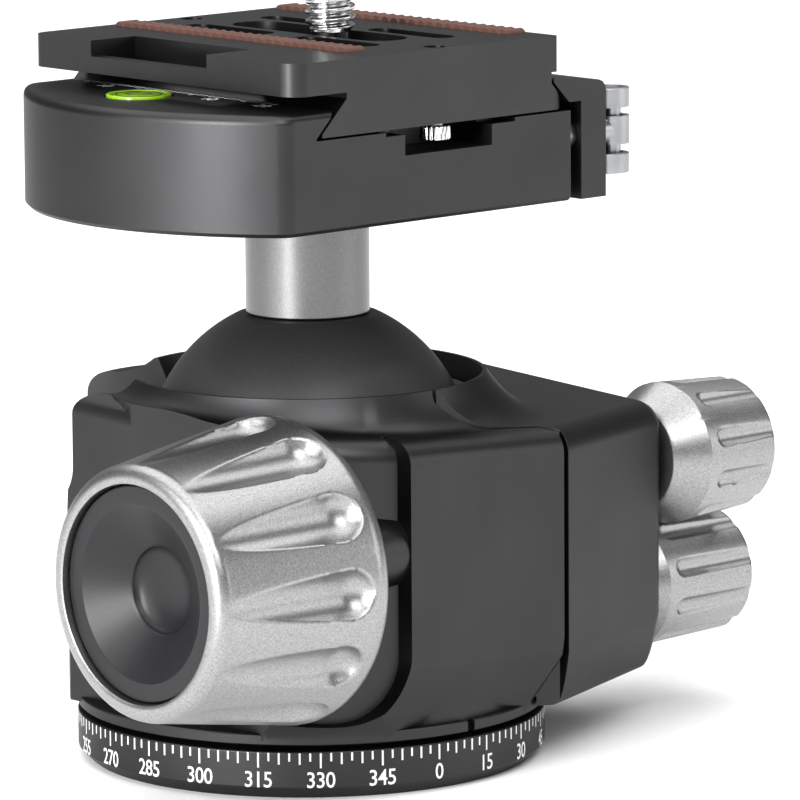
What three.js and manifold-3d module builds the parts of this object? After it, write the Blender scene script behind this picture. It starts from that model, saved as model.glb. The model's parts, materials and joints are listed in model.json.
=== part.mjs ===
import * as THREE from "three";
import { mergeVertices } from "three/addons/utils/BufferGeometryUtils.js";
import Module from "manifold-3d";

// A tripod ball head in millimetres. The origin is the centre of the foot's underside, on the
// pan axis. +Z is up, the index mark of the dial faces -Y and the main knob points to -X.

const wasm = await Module();
wasm.setup();

// Fits and roundness
const fitGap = 0.3;
const overrun = 1;
const weldDistance = 0.0001;
const fineSteps = 52;
const sphereSteps = 36;
const middleSteps = 32;
const smallSteps = 18;
const tinySteps = 10;
const boxSteps = 8;
const hexSteps = 6;
const eyeSteps = 32;
const threadSteps = 20;
const knobSteps = 44;
const fluteSteps = 12;
const grooveSteps = 8;
const filletSteps = 3;

// Foot with the dial
const footRecessWall = 6;
const footHeight = 6.2;
const footLowChamfer = 1.4;
const footTopChamfer = 0.25;
const footRecessDepth = 1.2;

// Threaded bush for the tripod's screw: 3/8 inch, 16 threads per inch
const bushRadius = 7.7;
const bushThreadRadius = 4.76;
const bushThreadPitch = 1.5875;
const bushThreadDepth = 0.86;
const bushInset = 0.3;
const threadCrestShare = 1 / 16;

// Pan spindle, its screws and the washer that the housing slides on
const spindleNeckWall = 4.5;
const spindleHeadLip = 3;
const spindleHeadHeight = 3.5;
const spindleScrewRadius = 1.2;
const spindleScrewHeadRadius = 2;
const spindleScrewHeadHeight = 1.5;
const spindleScrewReach = 5;
const spindleScrewCount = 3;
const spindleScrewInset = 0.4;
const socketRadius = 0.9;
const socketDepth = 0.9;
const washerWidth = 7;
const washerHeight = 1.3;

// Ball, its seats and the room around it
const ballRadius = 20.8;
const seatThickness = 1.5;
const ballFreeGap = 0.8;
const roomWeb = 1.8;
const seatShellLowAngle = 12;
const seatShellHighAngle = 34;
const seatPocketHighAngle = 64.5;
const seatArcSteps = 3;
const seatRingStart = 1;
const seatRingEnd = 8.6;
const ballFlatHeight = 18.8;

// Stem and its stud
const stemRadius = 7.9;
const stemReach = 33.3;
const studRadius = 4;
const studLength = 10;
const stemChamfer = 0.4;

// Housing walls around the ball
const barrelWall = 5.9;
const backWall = 8.1;
const flatWall = 1.3;
const flatTiltAngle = 3.4;
const frontWall = 6.7;
const blockLength = 22.1;
const flangeHeight = 1.4;
const flangeLip = 0.3;
const footLip = 0.1;
const floorHeight = 2.3;
const floorRadius = 22;
const padStart = -9.75;
const padTaperWidth = 2;
const padTaperMiddleWidth = 1.1;
const padTaperHeight = 9.6;
const padTaperMiddleHeight = 3.7;
const padTaperLow = 0.7;
const bowlLip = 0.1;
const bowlSpread = 5;
const knobRoomGap = 2.1;
const knobRoomRound = 8;
const blockShoulder = 17.5;
const blockEndHalfWidth = 19.5;
const blockTaperWidth = 2.2;
const blockTaperMiddleWidth = 0.9;
const blockTaperMiddleHeight = 3.1;
const blockTaperHeight = 7.6;
const blockTaperLow = 0.5;
const blockCornerRadius = 5;
const blockInner = 2;
const topHeight = 7.6;
const topSlopeXShare = -0.055;
const topSlopeYShare = 0.05;
const topFillet = 3;
const barrelFrontLowAngle = 216;
const barrelFrontHighAngle = 287;
const barrelBackLowAngle = 74;
const barrelBackHighAngle = 145;
const barrelRoundSteps = 14;
const knobRoomSteps = 6;
const blockCornerSteps = 6;
const rimHeight = 11.3;
const rimRadius = 22.7;
const rimLand = 0.5;
const collarFootRadius = 26;
const collarFootHeight = 4.3;
const indexWidth = 1.2;
const indexDepth = 1;

// Slit between the two halves of the housing
const slitWidth = 0.8;
const slitFrontX = 17;
const slitTurnX = 14.6;
const slitTurnInset = 2.9;
const slitMiddleX = 7;
const slitMiddleInset = 4;
const slitInnerX = 0.6;
const slitInnerInset = 6.6;

// Slot that the stem drops into
const dropAngle = 131;
const dropGap = 0.5;

// Screws that hold the halves at the back
const housingScrewRadius = 2;
const housingScrewHeadRadius = 2.9;
const housingScrewHeadLength = 3;
const housingScrewTip = -5.5;
const housingScrewHeadX = 12;
const housingScrewWall = 5.3;
const housingScrewLowHeight = 14.2;
const housingScrewHighHeight = 39;
const hexKeyRadius = 1.8;
const hexKeyDepth = 1.8;

// Main knob with its cap, bolt and washer
const mainAxisWall = 4.9;
const mainAxisDrop = 7.4;
const mainBoltRadius = 3;
const mainBoltTip = 18.6;
const mainKnobGap = 0.6;
const mainKnobLength = 25.9;
const mainKnobWideRadius = 19.2;
const mainKnobCapRadius = 15.6;
const mainKnobBackRadius = 15.2;
const mainKnobBackRound = 3.4;
const mainKnobRimRound = 1.7;
const mainKnobRimWidth = 0.9;
const fluteCount = 12;
const fluteWideRadius = 3.5;
const fluteNarrowRadius = 1.7;
const fluteWideDepth = 1.9;
const fluteNarrowDepth = 0.35;
const fluteStart = 5.6;
const fluteEndInset = 3.2;
const capRadius = 13.2;
const capHeight = 6.4;
const capRingWidth = 2.3;
const capPitRadius = 5.4;
const capDishDepth = 3.3;
const capPitDepth = 1.7;
const capPitShares = [[0.85, 0.45], [0.55, 0.12]];
const capDishShare = 0.6;
const thrustWasherHeight = 1.6;
const thrustWasherRadius = 6.4;
const bossWall = 1.4;

// Friction knob and pan lock knob
const smallScrewRadius = 2.5;
const smallKnobScrewDepth = 12;
const smallKnobEdge = 1;
const smallKnobGrooveCount = 10;
const smallGrooveRadius = 1.45;
const smallGrooveDepth = 0.75;
const smallGrooveInset = 1.6;
const frictionKnobY = -14;
const frictionKnobDrop = 3.8;
const frictionKnobLength = 17.3;
const frictionKnobShoulder = 4.3;
const frictionKnobFootRadius = 6.6;
const frictionKnobRadius = 9.35;
const frictionKnobEndRadius = 8.7;
const frictionPadRadius = 3;
const frictionPadEnd = 22;
const panKnobY = -9;
const panKnobDrop = 21.5;
const panKnobLength = 18.6;
const panKnobShoulder = 2.4;
const panKnobFootRadius = 6.8;
const panKnobRadius = 8.65;
const panKnobEndRadius = 8.3;
const panShoeStart = 13.2;
const panShoeEnd = 18;
const panShoeHalfWidth = 3;
const panShoeAbove = 2.1;

// Clamp body on the stem
const clampRadius = 35.7;
const clampHalfWidth = 25;
const clampRight = 22.4;
const clampHeight = 15;
const clampCornerRadius = 3.4;
const clampCornerSteps = 5;
const clampArcSteps = 16;
const clampTopFillet = 1.2;
const clampLowChamfer = 0.5;
const grooveDepth = 3.5;
const lipTipX = -17.6;
const lipFoot = 0.3;
const notchLeft = -6.1;
const notchRight = 8.7;
const notchDepth = 3.1;
const notchLength = 8;
const notchStepLeft = -9.3;
const notchStepRight = 12.7;
const notchStepDepth = 0.5;
const notchStepLength = 3;
const clampBoltRadius = 3;
const clampBoltHeadRadius = 5;
const clampBoltHeadHeight = 5;
const clampBoltSink = 0.5;
const clampBoltLength = 16;
const clampKeyRadius = 2.6;
const clampKeyDepth = 3;

// Bubble level in the shoulder
const levelWeb = 0.4;
const levelY = 4;
const levelRadius = 4.1;
const levelHeight = 2;
const levelWall = 0.6;
const levelFloor = 0.5;
const levelRise = 0.3;

// Moving jaw, its guide pins and springs
const jawGap = 1.9;
const jawThickness = 4.35;
const jawRise = 0.9;
const jawLipReach = 4.8;
const jawLipHeight = 0.6;
const jawTopFall = 0.9;
const jawTopRound = 1.2;
const jawPinRadius = 1.5;
const jawPinY = 13;
const jawPinHeight = 6.2;
const jawPinDepth = 10.4;
const springTurnCount = 4;
const springWireRadius = 0.3;
const springRadius = 2.3;
const springStepCount = 8;
const springSideCount = 5;

// Cam lever with its draw rod and pin
const rodY = -22.2;
const rodHeight = 8.05;
const rodRadius = 1.8;
const rodDepth = 11.4;
const leverEyeRadius = 2.75;
const leverEccentricity = 0.7;
const leverEyeHeight = 2.5;
const leverHeight = 10.9;
const leverForkLength = 11;
const leverLength = 46;
const leverThickness = 4.2;
const leverTipRadius = 2;
const leverPinRadius = 1.2;
const barrelRadius = 2.3;
const leverPinInset = 0.2;

// Release plate
const plateLeft = -24.5;
const plateRight = 20.1;
const plateEndInset = 0;
const plateHeight = 4.1;
const plateRise = 2.1;
const plateLift = 0.3;
const plateSlopeGap = 0.35;
const plateFoot = 0.45;
const plateWide = 22;
const plateNeck = 0.75;
const plateNeckRight = 19.1;
const plateNeckDrop = 0.5;
const plateCornerRadius = 1.5;
const plateWeb = 3.5;
const recessHalfWidth = 7.3;
const recessEndGap = 0.5;
const sideSlotHalfWidth = 1.7;
const sideSlotOffset = 6.4;
const sideSlotEndInset = 1;
const sideSlotMiddle = 2.6;
const strapLeft = -22.6;
const strapRight = -17.2;
const strapFront = -9;
const strapBack = 13;
const strapBarDrop = 2;
const stripWidth = 3.2;
const stripDepth = 0.9;
const stripRise = 0.6;
const stripRibCount = 26;
const stripRibShares = [0.72, 0.28];
const stripLeftX = -9.6;
const stripRightX = 17.9;
const stripFront = -20;
const stripBack = 24;

// Camera screw, 1/4 inch with 20 threads per inch, and its sliding clip
const cameraScrewX = 2.7;
const cameraScrewY = -1.75;
const cameraThreadRadius = 3.17;
const cameraThreadPitch = 1.27;
const cameraThreadDepth = 0.62;
const cameraThreadCount = 4;
const cameraNeckRadius = 2.4;
const cameraTipHeight = 0.7;
const cameraHeadRadius = 6.6;
const cameraHeadHeight = 3.4;
const coinSlotWidth = 1.6;
const coinSlotDepth = 1.4;
const clipHalfWidth = 5;
const clipHeight = 0.8;
const slotFront = -14.4;
const slotBack = 15.2;
const slotGap = 0.25;

// Stop pins under the plate's ends
const stopPinX = 0.9;
const stopPinInset = 2.1;
const stopPinRadius = 1.95;
const stopPinHeight = 1.9;
const stopShankRadius = 1.1;
const stopShankLength = 3.6;
const stopPinRibCount = 16;
const stopRibDepth = 0.12;

// Places worked out from those sizes
const seatInnerRadius = ballRadius + fitGap;
const seatOuterRadius = seatInnerRadius + seatThickness;
const pocketRadius = seatOuterRadius + fitGap;
const barrelRadiusOuter = pocketRadius + barrelWall;
const backRadius = pocketRadius + backWall;
const leftFace = -(pocketRadius + flatWall);
const frontFace = pocketRadius + frontWall;
const blockEnd = pocketRadius + blockLength;
const flangeRadius = frontFace + flangeLip;
const footRadius = flangeRadius + footLip;
const footRecessRadius = footRadius - footRecessWall;
const footFloor = footHeight - footRecessDepth;
const washerBottom = footFloor + fitGap;
const washerTop = washerBottom + washerHeight;
const flangeBottom = washerTop + fitGap;
const flangeTop = flangeBottom + flangeHeight;
const floorTop = flangeBottom + floorHeight;
const bushBoreRadius = bushRadius + fitGap;
const spindleNeckRadius = bushBoreRadius + spindleNeckWall;
const spindleHeadRadius = spindleNeckRadius + spindleHeadLip;
const spindleHeadBottom = floorTop + fitGap;
const spindleHeadTop = spindleHeadBottom + spindleHeadHeight;
const roomTop = spindleHeadTop + fitGap;
const roomRadius = spindleHeadRadius + fitGap;
const screwCircle = bushBoreRadius + spindleNeckWall / 2;
const ballHeight = roomTop + roomWeb + pocketRadius;
const rimTop = ballHeight + rimHeight;
const stemBottom = ballHeight + ballFlatHeight + fitGap;
const clampBottom = ballHeight + stemReach;
const clampTop = clampBottom + clampHeight;
const stemTop = clampBottom - fitGap;
const dropHalfWidth = stemRadius + dropGap;
const mainAxisY = -(frontFace - mainAxisWall);
const mainAxisZ = ballHeight - mainAxisDrop;
const mainKnobBack = leftFace - mainKnobGap;
const knobRoomRadius = mainKnobWideRadius + knobRoomGap;
const capRecessDepth = capHeight + fitGap;
const bossEnd = mainKnobBack + fitGap + thrustWasherHeight + fitGap;
const bossRadius = mainBoltRadius + fitGap + bossWall;
const frictionAxisZ = ballHeight - frictionKnobDrop;
const panAxisZ = ballHeight - panKnobDrop;
const smallKnobStart = blockEnd + fitGap;
const housingScrewY = backRadius - housingScrewWall;
const grooveFloor = clampTop - grooveDepth;
const plateHalfLength = clampHalfWidth - plateEndInset;
const plateBottom = grooveFloor + plateLift;
const plateFlange = clampTop + plateRise;
const plateTop = plateFlange + plateHeight;
const plateSlopeReach = Math.SQRT2 * plateSlopeGap;
const plateFootLeft = lipTipX - (clampTop - plateBottom - plateFoot) + plateSlopeReach;
const plateNeckLeft = plateFootLeft + plateFlange - plateNeck - plateBottom - plateFoot;
const webBottom = plateTop - plateWeb;
const jawLeft = clampRight + jawGap;
const jawRight = jawLeft + jawThickness;
const jawTop = clampTop + jawRise;
const jawTip = jawLeft - jawLipReach;
const jawUndercut = plateWide + plateBottom + plateFoot + plateSlopeReach;
const rodZ = clampBottom + rodHeight;
const leverEyeX = jawRight + fitGap + leverEyeRadius;
const leverPinX = leverEyeX + leverEccentricity;
const leverLow = rodZ - leverHeight / 2;
const leverHigh = rodZ + leverHeight / 2;
const forkLow = leverLow + leverEyeHeight;
const forkHigh = leverHigh - leverEyeHeight;
const jawPinZ = clampBottom + jawPinHeight;
const clipTop = webBottom - fitGap;
const clipBottom = clipTop - clipHeight;
const cameraHeadTop = clipBottom - fitGap;
const cameraHeadBottom = cameraHeadTop - cameraHeadHeight;
const slotHalfWidth = cameraThreadRadius + slotGap;
const threadBottom = plateTop + fitGap;
const stopPinTop = plateBottom - fitGap;
const stopPinY = plateHalfLength - stopPinInset;
const levelX = lipTipX - levelHeight - levelWeb - fitGap - levelRadius;
const radians = Math.PI / 180;

// A closed solid from a three.js geometry, welded and turned to face out
function solid(geometry) {
  const bare = new THREE.BufferGeometry();
  bare.setAttribute("position", geometry.getAttribute("position"));
  bare.setIndex(geometry.getIndex());
  const welded = mergeVertices(bare, weldDistance);
  const corners = welded.getAttribute("position");
  const index = welded.getIndex().array;
  const kept = [];
  const first = new THREE.Vector3();
  const second = new THREE.Vector3();
  const third = new THREE.Vector3();
  let volume = 0;
  for (let i = 0; i < index.length; i += 3) {
    const [a, b, c] = [index[i], index[i + 1], index[i + 2]];
    if (a !== b && b !== c && c !== a) {
      kept.push(a, b, c);
      first.fromBufferAttribute(corners, a);
      second.fromBufferAttribute(corners, b);
      third.fromBufferAttribute(corners, c);
      volume += first.dot(second.cross(third));
    }
  }
  const facing = volume < 0 ? kept.reverse() : kept;
  const mesh = new wasm.Mesh({
    numProp: 3,
    vertProperties: new Float32Array(corners.array),
    triVerts: new Uint32Array(facing),
  });
  return new wasm.Manifold(mesh);
}

function joined(shapes) {
  return shapes.reduce((whole, shape) => whole.add(shape));
}

function cut(shape, cutters) {
  return cutters.reduce((rest, cutter) => rest.subtract(cutter), shape);
}

// Basic shapes, all upright along Z
function rod(radius, bottom, top, steps = smallSteps) {
  const geometry = new THREE.CylinderGeometry(radius, radius, top - bottom, steps);
  geometry.rotateX(Math.PI / 2);
  geometry.translate(0, 0, (bottom + top) / 2);
  return geometry;
}

function block(left, right, front, back, bottom, top) {
  const geometry = new THREE.BoxGeometry(right - left, back - front, top - bottom);
  geometry.translate((left + right) / 2, (front + back) / 2, (bottom + top) / 2);
  return geometry;
}

function turned(profile, steps = fineSteps) {
  const points = profile.map(([radius, height]) => new THREE.Vector2(radius, height));
  const geometry = new THREE.LatheGeometry(points, steps);
  geometry.rotateX(Math.PI / 2);
  return geometry;
}

function ring(inner, outer, bottom, top, steps = middleSteps) {
  return turned([[inner, bottom], [outer, bottom], [outer, top], [inner, top], [inner, bottom]], steps);
}

function sphere(radius, height, steps = sphereSteps) {
  const geometry = new THREE.SphereGeometry(radius, steps, steps / 2);
  geometry.rotateX(Math.PI / 2);
  geometry.translate(0, 0, height);
  return geometry;
}

// An upright prism over an outline in the XY plane
function prism(outline, bottom, top) {
  const shape = new THREE.Shape(outline.map(([x, y]) => new THREE.Vector2(x, y)));
  const geometry = new THREE.ExtrudeGeometry(shape, { depth: top - bottom, bevelEnabled: false });
  geometry.translate(0, 0, bottom);
  return geometry;
}

// A bar along Y whose cross-section is an outline in the XZ plane
function bar(outline, front, back) {
  const geometry = prism(outline, -back, -front);
  geometry.rotateX(Math.PI / 2);
  return geometry;
}

// A bar along X whose cross-section is an outline in the YZ plane
function crossBar(outline, left, right) {
  const geometry = prism(outline, left, right);
  geometry.rotateX(Math.PI / 2);
  geometry.rotateZ(Math.PI / 2);
  return geometry;
}

function moved(geometry, x, y, z) {
  geometry.translate(x, y, z);
  return geometry;
}

// Turns an upright shape so that its Z runs along +X, and moves it
function alongX(geometry, x, y, z) {
  geometry.rotateY(Math.PI / 2);
  return moved(geometry, x, y, z);
}

function hexagon(radius, bottom, top) {
  return rod(radius, bottom, top, hexSteps);
}

// Sides of an outline: each faces an angle and lies at a reach from the origin. The inset share
// says how far the side follows an inset of the whole outline.
function side(angle, reach, insetShare) {
  return { x: Math.cos(angle * radians), y: Math.sin(angle * radians), reach, insetShare };
}

function roundSides(centreX, centreY, radius, from, to, count) {
  const sides = [];
  for (let i = 0; i <= count; i += 1) {
    const turn = from + ((to - from) * i) / count;
    const facing = side(turn, 0, 1);
    facing.reach = centreX * facing.x + centreY * facing.y + radius;
    sides.push(facing);
  }
  return sides;
}

function outlineOf(sides, inset) {
  return sides.map((here, i) => {
    const next = sides[(i + 1) % sides.length];
    const hereReach = here.reach - inset * here.insetShare;
    const nextReach = next.reach - inset * next.insetShare;
    const turn = here.x * next.y - here.y * next.x;
    const x = (hereReach * next.y - nextReach * here.y) / turn;
    const y = (nextReach * here.x - hereReach * next.x) / turn;
    return [x, y];
  });
}

// A solid through stacked convex outlines with as many corners each
function lofted(levels) {
  const count = levels[0].length;
  const index = [];
  for (let i = 0; i + 1 < levels.length; i += 1) {
    for (let j = 0; j < count; j += 1) {
      const a = i * count + j;
      const b = i * count + ((j + 1) % count);
      index.push(a, b, b + count, a, b + count, a + count);
    }
  }
  const last = (levels.length - 1) * count;
  for (let j = 1; j + 1 < count; j += 1) {
    index.push(0, j + 1, j, last, last + j, last + j + 1);
  }
  const geometry = new THREE.BufferGeometry();
  geometry.setAttribute("position", new THREE.Float32BufferAttribute(levels.flat(2), 3));
  geometry.setIndex(index);
  return geometry;
}

// The sloping top of the housing
function topAt(x, y) {
  return ballHeight + topHeight + topSlopeXShare * x + topSlopeYShare * y;
}

// A housing body over an outline, with low levels given as inset and height, and a rounded top
function housingBody(sides, lowLevels) {
  const levels = lowLevels.map(([inset, height]) => {
    return outlineOf(sides, inset).map(([x, y]) => [x, y, height]);
  });
  for (let i = 0; i <= filletSteps; i += 1) {
    const turn = (Math.PI / 2) * (i / filletSteps);
    const inset = topFillet * (1 - Math.cos(turn));
    const drop = topFillet * (1 - Math.sin(turn));
    levels.push(outlineOf(sides, inset).map(([x, y]) => [x, y, topAt(x, y) - drop]));
  }
  return solid(lofted(levels));
}

function barrelRound(radius, from, to) {
  return roundSides(0, 0, radius, from, to, barrelRoundSteps);
}

// The left flat leans away from the knob about the line where the knob's edge passes it
function leftFlat() {
  const flat = side(180 + flatTiltAngle, 0, 1);
  flat.reach = leftFace * flat.x + (mainAxisY + mainKnobWideRadius) * flat.y;
  return flat;
}

function barrelBody() {
  const sides = [
    leftFlat(),
    ...barrelRound(barrelRadiusOuter, barrelFrontLowAngle, barrelFrontHighAngle),
    side(0, blockShoulder / 2, 0),
    ...barrelRound(backRadius, barrelBackLowAngle, barrelBackHighAngle),
  ];
  return housingBody(sides, [[0, flangeBottom + flangeHeight / 2]]);
}

// The round bowl that the pad runs down into, as wide as the flange at its foot
function bowl() {
  const foot = flangeRadius + bowlLip;
  const wide = foot + bowlSpread;
  return solid(turned([
    [0, flangeBottom],
    [foot, flangeBottom],
    [foot, flangeTop],
    [wide, flangeBottom + padTaperHeight],
    [wide, rimTop],
    [0, rimTop],
  ]));
}

// The room beside the main knob, with a rounded corner where it ends at the pad
function knobRoom() {
  const profile = [[0, leftFace - overrun], [knobRoomRadius, leftFace - overrun]];
  for (let i = 0; i <= knobRoomSteps; i += 1) {
    const turn = (Math.PI / 2) * (i / knobRoomSteps);
    profile.push([
      knobRoomRadius - knobRoomRound * (1 - Math.cos(turn)),
      padStart - knobRoomRound * (1 - Math.sin(turn)),
    ]);
  }
  profile.push([0, padStart]);
  return solid(alongX(turned(profile), 0, mainAxisY, mainAxisZ));
}

function padBody() {
  const sides = [
    side(180, -leftFace, 0),
    side(270, frontFace, 1),
    side(360, blockShoulder, 0),
    side(450, 0, 0),
  ];
  const body = housingBody(sides, [
    [padTaperWidth, flangeBottom + padTaperLow],
    [padTaperMiddleWidth, flangeBottom + padTaperMiddleHeight],
    [0, flangeBottom + padTaperHeight],
  ]);
  return body.intersect(bowl()).subtract(knobRoom());
}

function blockBody() {
  const run = blockEnd - blockShoulder;
  const fall = frontFace - blockEndHalfWidth;
  const tilt = Math.atan2(fall, run) / radians;
  const taperSide = side(-90 + tilt, 0, 1);
  taperSide.reach = blockShoulder * taperSide.x - frontFace * taperSide.y;
  const cornerX = blockEnd - blockCornerRadius;
  const cornerReach = taperSide.reach - blockCornerRadius;
  const cornerY = (cornerReach - cornerX * taperSide.x) / taperSide.y;
  const sides = [
    side(-180, blockInner, 0),
    side(-90, frontFace, 1),
    ...roundSides(cornerX, cornerY, blockCornerRadius, -90 + tilt, 0, blockCornerSteps),
    ...roundSides(cornerX, -cornerY, blockCornerRadius, 0, 90 - tilt, blockCornerSteps).slice(1),
    side(90, frontFace, 1),
  ];
  return housingBody(sides, [
    [blockTaperWidth, flangeBottom + blockTaperLow],
    [blockTaperMiddleWidth, flangeBottom + blockTaperMiddleHeight],
    [0, flangeBottom + blockTaperHeight],
  ]);
}

// Direction of one stretch of a path
function stretchOf(path, i) {
  return new THREE.Vector2(path[i + 1][0] - path[i][0], path[i + 1][1] - path[i][1]).normalize();
}

// Outline of the +X side of the slit, moved by half the slit's width either way
function slitOutline(shift) {
  const far = blockEnd + overrun;
  const path = [
    [slitFrontX, -far],
    [slitFrontX, -frontFace + slitTurnInset / 2],
    [slitTurnX, -frontFace + slitTurnInset],
    [slitMiddleX, -frontFace + slitMiddleInset],
    [slitInnerX, -frontFace + slitInnerInset],
    [slitInnerX, far],
  ];
  const line = path.map((point, i) => {
    const before = stretchOf(path, Math.max(i - 1, 0));
    const after = stretchOf(path, Math.min(i, path.length - 2));
    const along = before.clone().add(after).normalize();
    const reach = shift / along.dot(after);
    return [point[0] + along.y * reach, point[1] - along.x * reach];
  });
  return [...line, [far, far], [far, -far]];
}

// The cone from the sloping top up to the rim, cut off flush with the left flat
function collar() {
  const cone = turned([
    [0, ballHeight + collarFootHeight],
    [collarFootRadius, ballHeight + collarFootHeight],
    [rimRadius, rimTop],
    [0, rimTop],
  ]);
  const sides = [
    leftFlat(),
    side(270, blockEnd, 0),
    side(360, blockEnd, 0),
    side(450, blockEnd, 0),
  ];
  return solid(cone).intersect(solid(prism(outlineOf(sides, 0), 0, rimTop + overrun)));
}

// The room around the ball: free between the seats, deeper at the seats, open at the top
function ballRoom() {
  const pocketTop = ballHeight - pocketRadius * Math.cos(seatPocketHighAngle * radians);
  const ringBottom = ballHeight + seatRingStart - fitGap;
  const ringTop = ballHeight + seatRingEnd;
  const wide = solid(sphere(pocketRadius, ballHeight));
  const low = solid(rod(blockEnd, 0, pocketTop, boxSteps));
  const high = solid(rod(blockEnd, ringBottom, ringTop, boxSteps));
  const mouthRadius = Math.sqrt(pocketRadius ** 2 - seatRingEnd ** 2);
  const dishRadius = rimRadius - rimLand;
  const slopeShare = (dishRadius - mouthRadius) / (rimTop - ringTop);
  const dish = solid(turned([
    [0, ringTop - fitGap],
    [mouthRadius - slopeShare * fitGap, ringTop - fitGap],
    [dishRadius + slopeShare * overrun, rimTop + overrun],
    [0, rimTop + overrun],
  ]));
  return joined([
    solid(sphere(ballRadius + ballFreeGap, ballHeight)),
    wide.intersect(joined([low, high])),
    dish,
  ]);
}

// The slot for the stem: a round bottom about the ball's centre, open upward
function dropSlot(extra) {
  const halfWidth = dropHalfWidth + extra;
  const round = rod(halfWidth, 0, blockEnd, middleSteps);
  alongX(round, 0, 0, ballHeight);
  const upper = block(0, blockEnd, -halfWidth, halfWidth, ballHeight, rimTop + blockEnd);
  round.rotateZ(dropAngle * radians);
  upper.rotateZ(dropAngle * radians);
  return joined([solid(round), solid(upper)]);
}

function boreAlongX(radius, from, to, y, z) {
  return solid(alongX(rod(radius, from, to), 0, y, z));
}

function housingScrewBore(z) {
  const shank = boreAlongX(
    housingScrewRadius + fitGap, housingScrewTip - fitGap, blockEnd, housingScrewY, z);
  const headStart = housingScrewHeadX - fitGap;
  const head = boreAlongX(
    housingScrewHeadRadius + fitGap, headStart, blockEnd + overrun, housingScrewY, z);
  return joined([shank, head]);
}

// Every bore and room that both halves of the housing share
function housingCuts() {
  const mainBore = boreAlongX(
    mainBoltRadius + fitGap, mainKnobBack - overrun, mainBoltTip + fitGap, mainAxisY, mainAxisZ);
  return joined([
    ballRoom(),
    solid(rod(roomRadius, floorTop, roomTop, fineSteps)),
    mainBore,
    housingScrewBore(housingScrewLowHeight),
    housingScrewBore(housingScrewHighHeight),
  ]);
}

function housingMain() {
  const shell = joined([barrelBody(), padBody(), collar()])
    .subtract(solid(prism(slitOutline(-slitWidth / 2), 0, rimTop + overrun)));
  const boss = boreAlongX(bossRadius, bossEnd, padStart + overrun, mainAxisY, mainAxisZ);
  const flange = solid(rod(flangeRadius, flangeBottom, flangeTop, fineSteps));
  const floor = solid(rod(floorRadius, flangeBottom, floorTop, fineSteps));
  const index = block(
    -indexWidth / 2, indexWidth / 2, -flangeRadius - overrun, -flangeRadius + indexDepth,
    flangeBottom - overrun, flangeTop + overrun);
  return cut(joined([shell, boss, flange, floor]), [
    housingCuts(),
    solid(rod(spindleNeckRadius + fitGap, flangeBottom - overrun, roomTop, fineSteps)),
    dropSlot(0),
    solid(index),
  ]);
}

function housingSide() {
  const shell = joined([blockBody(), collar()])
    .intersect(solid(prism(slitOutline(slitWidth / 2), 0, rimTop + overrun)));
  const padPocket = boreAlongX(
    frictionPadRadius + fitGap, 0, frictionPadEnd + fitGap, frictionKnobY, frictionAxisZ);
  const frictionBore = boreAlongX(
    smallScrewRadius + fitGap, 0, blockEnd + overrun, frictionKnobY, frictionAxisZ);
  const panBore = boreAlongX(
    smallScrewRadius + fitGap, panShoeEnd, blockEnd + overrun, panKnobY, panAxisZ);
  const shoePocket = solid(block(
    panShoeStart - fitGap, panShoeEnd + fitGap,
    panKnobY - panShoeHalfWidth - fitGap, panKnobY + panShoeHalfWidth + fitGap,
    floorTop - overrun, panAxisZ + panShoeAbove + fitGap));
  return cut(shell, [
    housingCuts(),
    dropSlot(0),
    padPocket,
    frictionBore,
    panBore,
    shoePocket,
    solid(rod(flangeRadius + fitGap, 0, flangeTop + fitGap, fineSteps)),
    solid(rod(floorRadius + fitGap, 0, floorTop + fitGap, fineSteps)),
  ]);
}

function baseRing() {
  const outer = solid(turned([
    [0, 0],
    [footRadius - footLowChamfer, 0],
    [footRadius, footLowChamfer],
    [footRadius, footHeight - footTopChamfer],
    [footRadius - footTopChamfer, footHeight],
    [0, footHeight],
  ]));
  const recess = rod(footRecessRadius, footFloor, footHeight + overrun, fineSteps);
  const bore = rod(bushBoreRadius, -overrun, footHeight, middleSteps);
  const cutters = [solid(recess), solid(bore)];
  eachSpindleScrew((x, y) => {
    const headTop = spindleScrewInset + spindleScrewHeadHeight + fitGap;
    const head = rod(spindleScrewHeadRadius + fitGap, -overrun, headTop, tinySteps);
    const shank = rod(spindleScrewRadius + fitGap, 0, footHeight, tinySteps);
    cutters.push(solid(moved(head, x, y, 0)), solid(moved(shank, x, y, 0)));
  });
  return cut(outer, cutters);
}

function eachSpindleScrew(place) {
  for (let i = 0; i < spindleScrewCount; i += 1) {
    const turn = (2 * Math.PI * i) / spindleScrewCount;
    place(screwCircle * Math.cos(turn), screwCircle * Math.sin(turn), i);
  }
}

function spindleScrewTop() {
  return spindleScrewInset + spindleScrewHeadHeight + spindleScrewReach + footFloor;
}

function spindleScrew(x, y) {
  const headTop = spindleScrewInset + spindleScrewHeadHeight;
  const body = joined([
    solid(rod(spindleScrewHeadRadius, spindleScrewInset, headTop, tinySteps)),
    solid(rod(spindleScrewRadius, spindleScrewInset, spindleScrewTop(), tinySteps)),
  ]);
  const key = hexagon(socketRadius, -overrun, spindleScrewInset + socketDepth);
  return body.subtract(solid(key)).translate([x, y, 0]);
}

function panSpindle() {
  const post = joined([
    solid(rod(spindleNeckRadius, washerBottom, spindleHeadTop, fineSteps)),
    solid(rod(spindleHeadRadius, spindleHeadBottom, spindleHeadTop, fineSteps)),
  ]);
  const cutters = [solid(rod(bushBoreRadius, 0, spindleHeadTop + overrun, middleSteps))];
  eachSpindleScrew((x, y) => {
    const hole = rod(spindleScrewRadius + fitGap, 0, spindleScrewTop() + fitGap, tinySteps);
    cutters.push(solid(moved(hole, x, y, 0)));
  });
  return cut(post, cutters);
}

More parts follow.
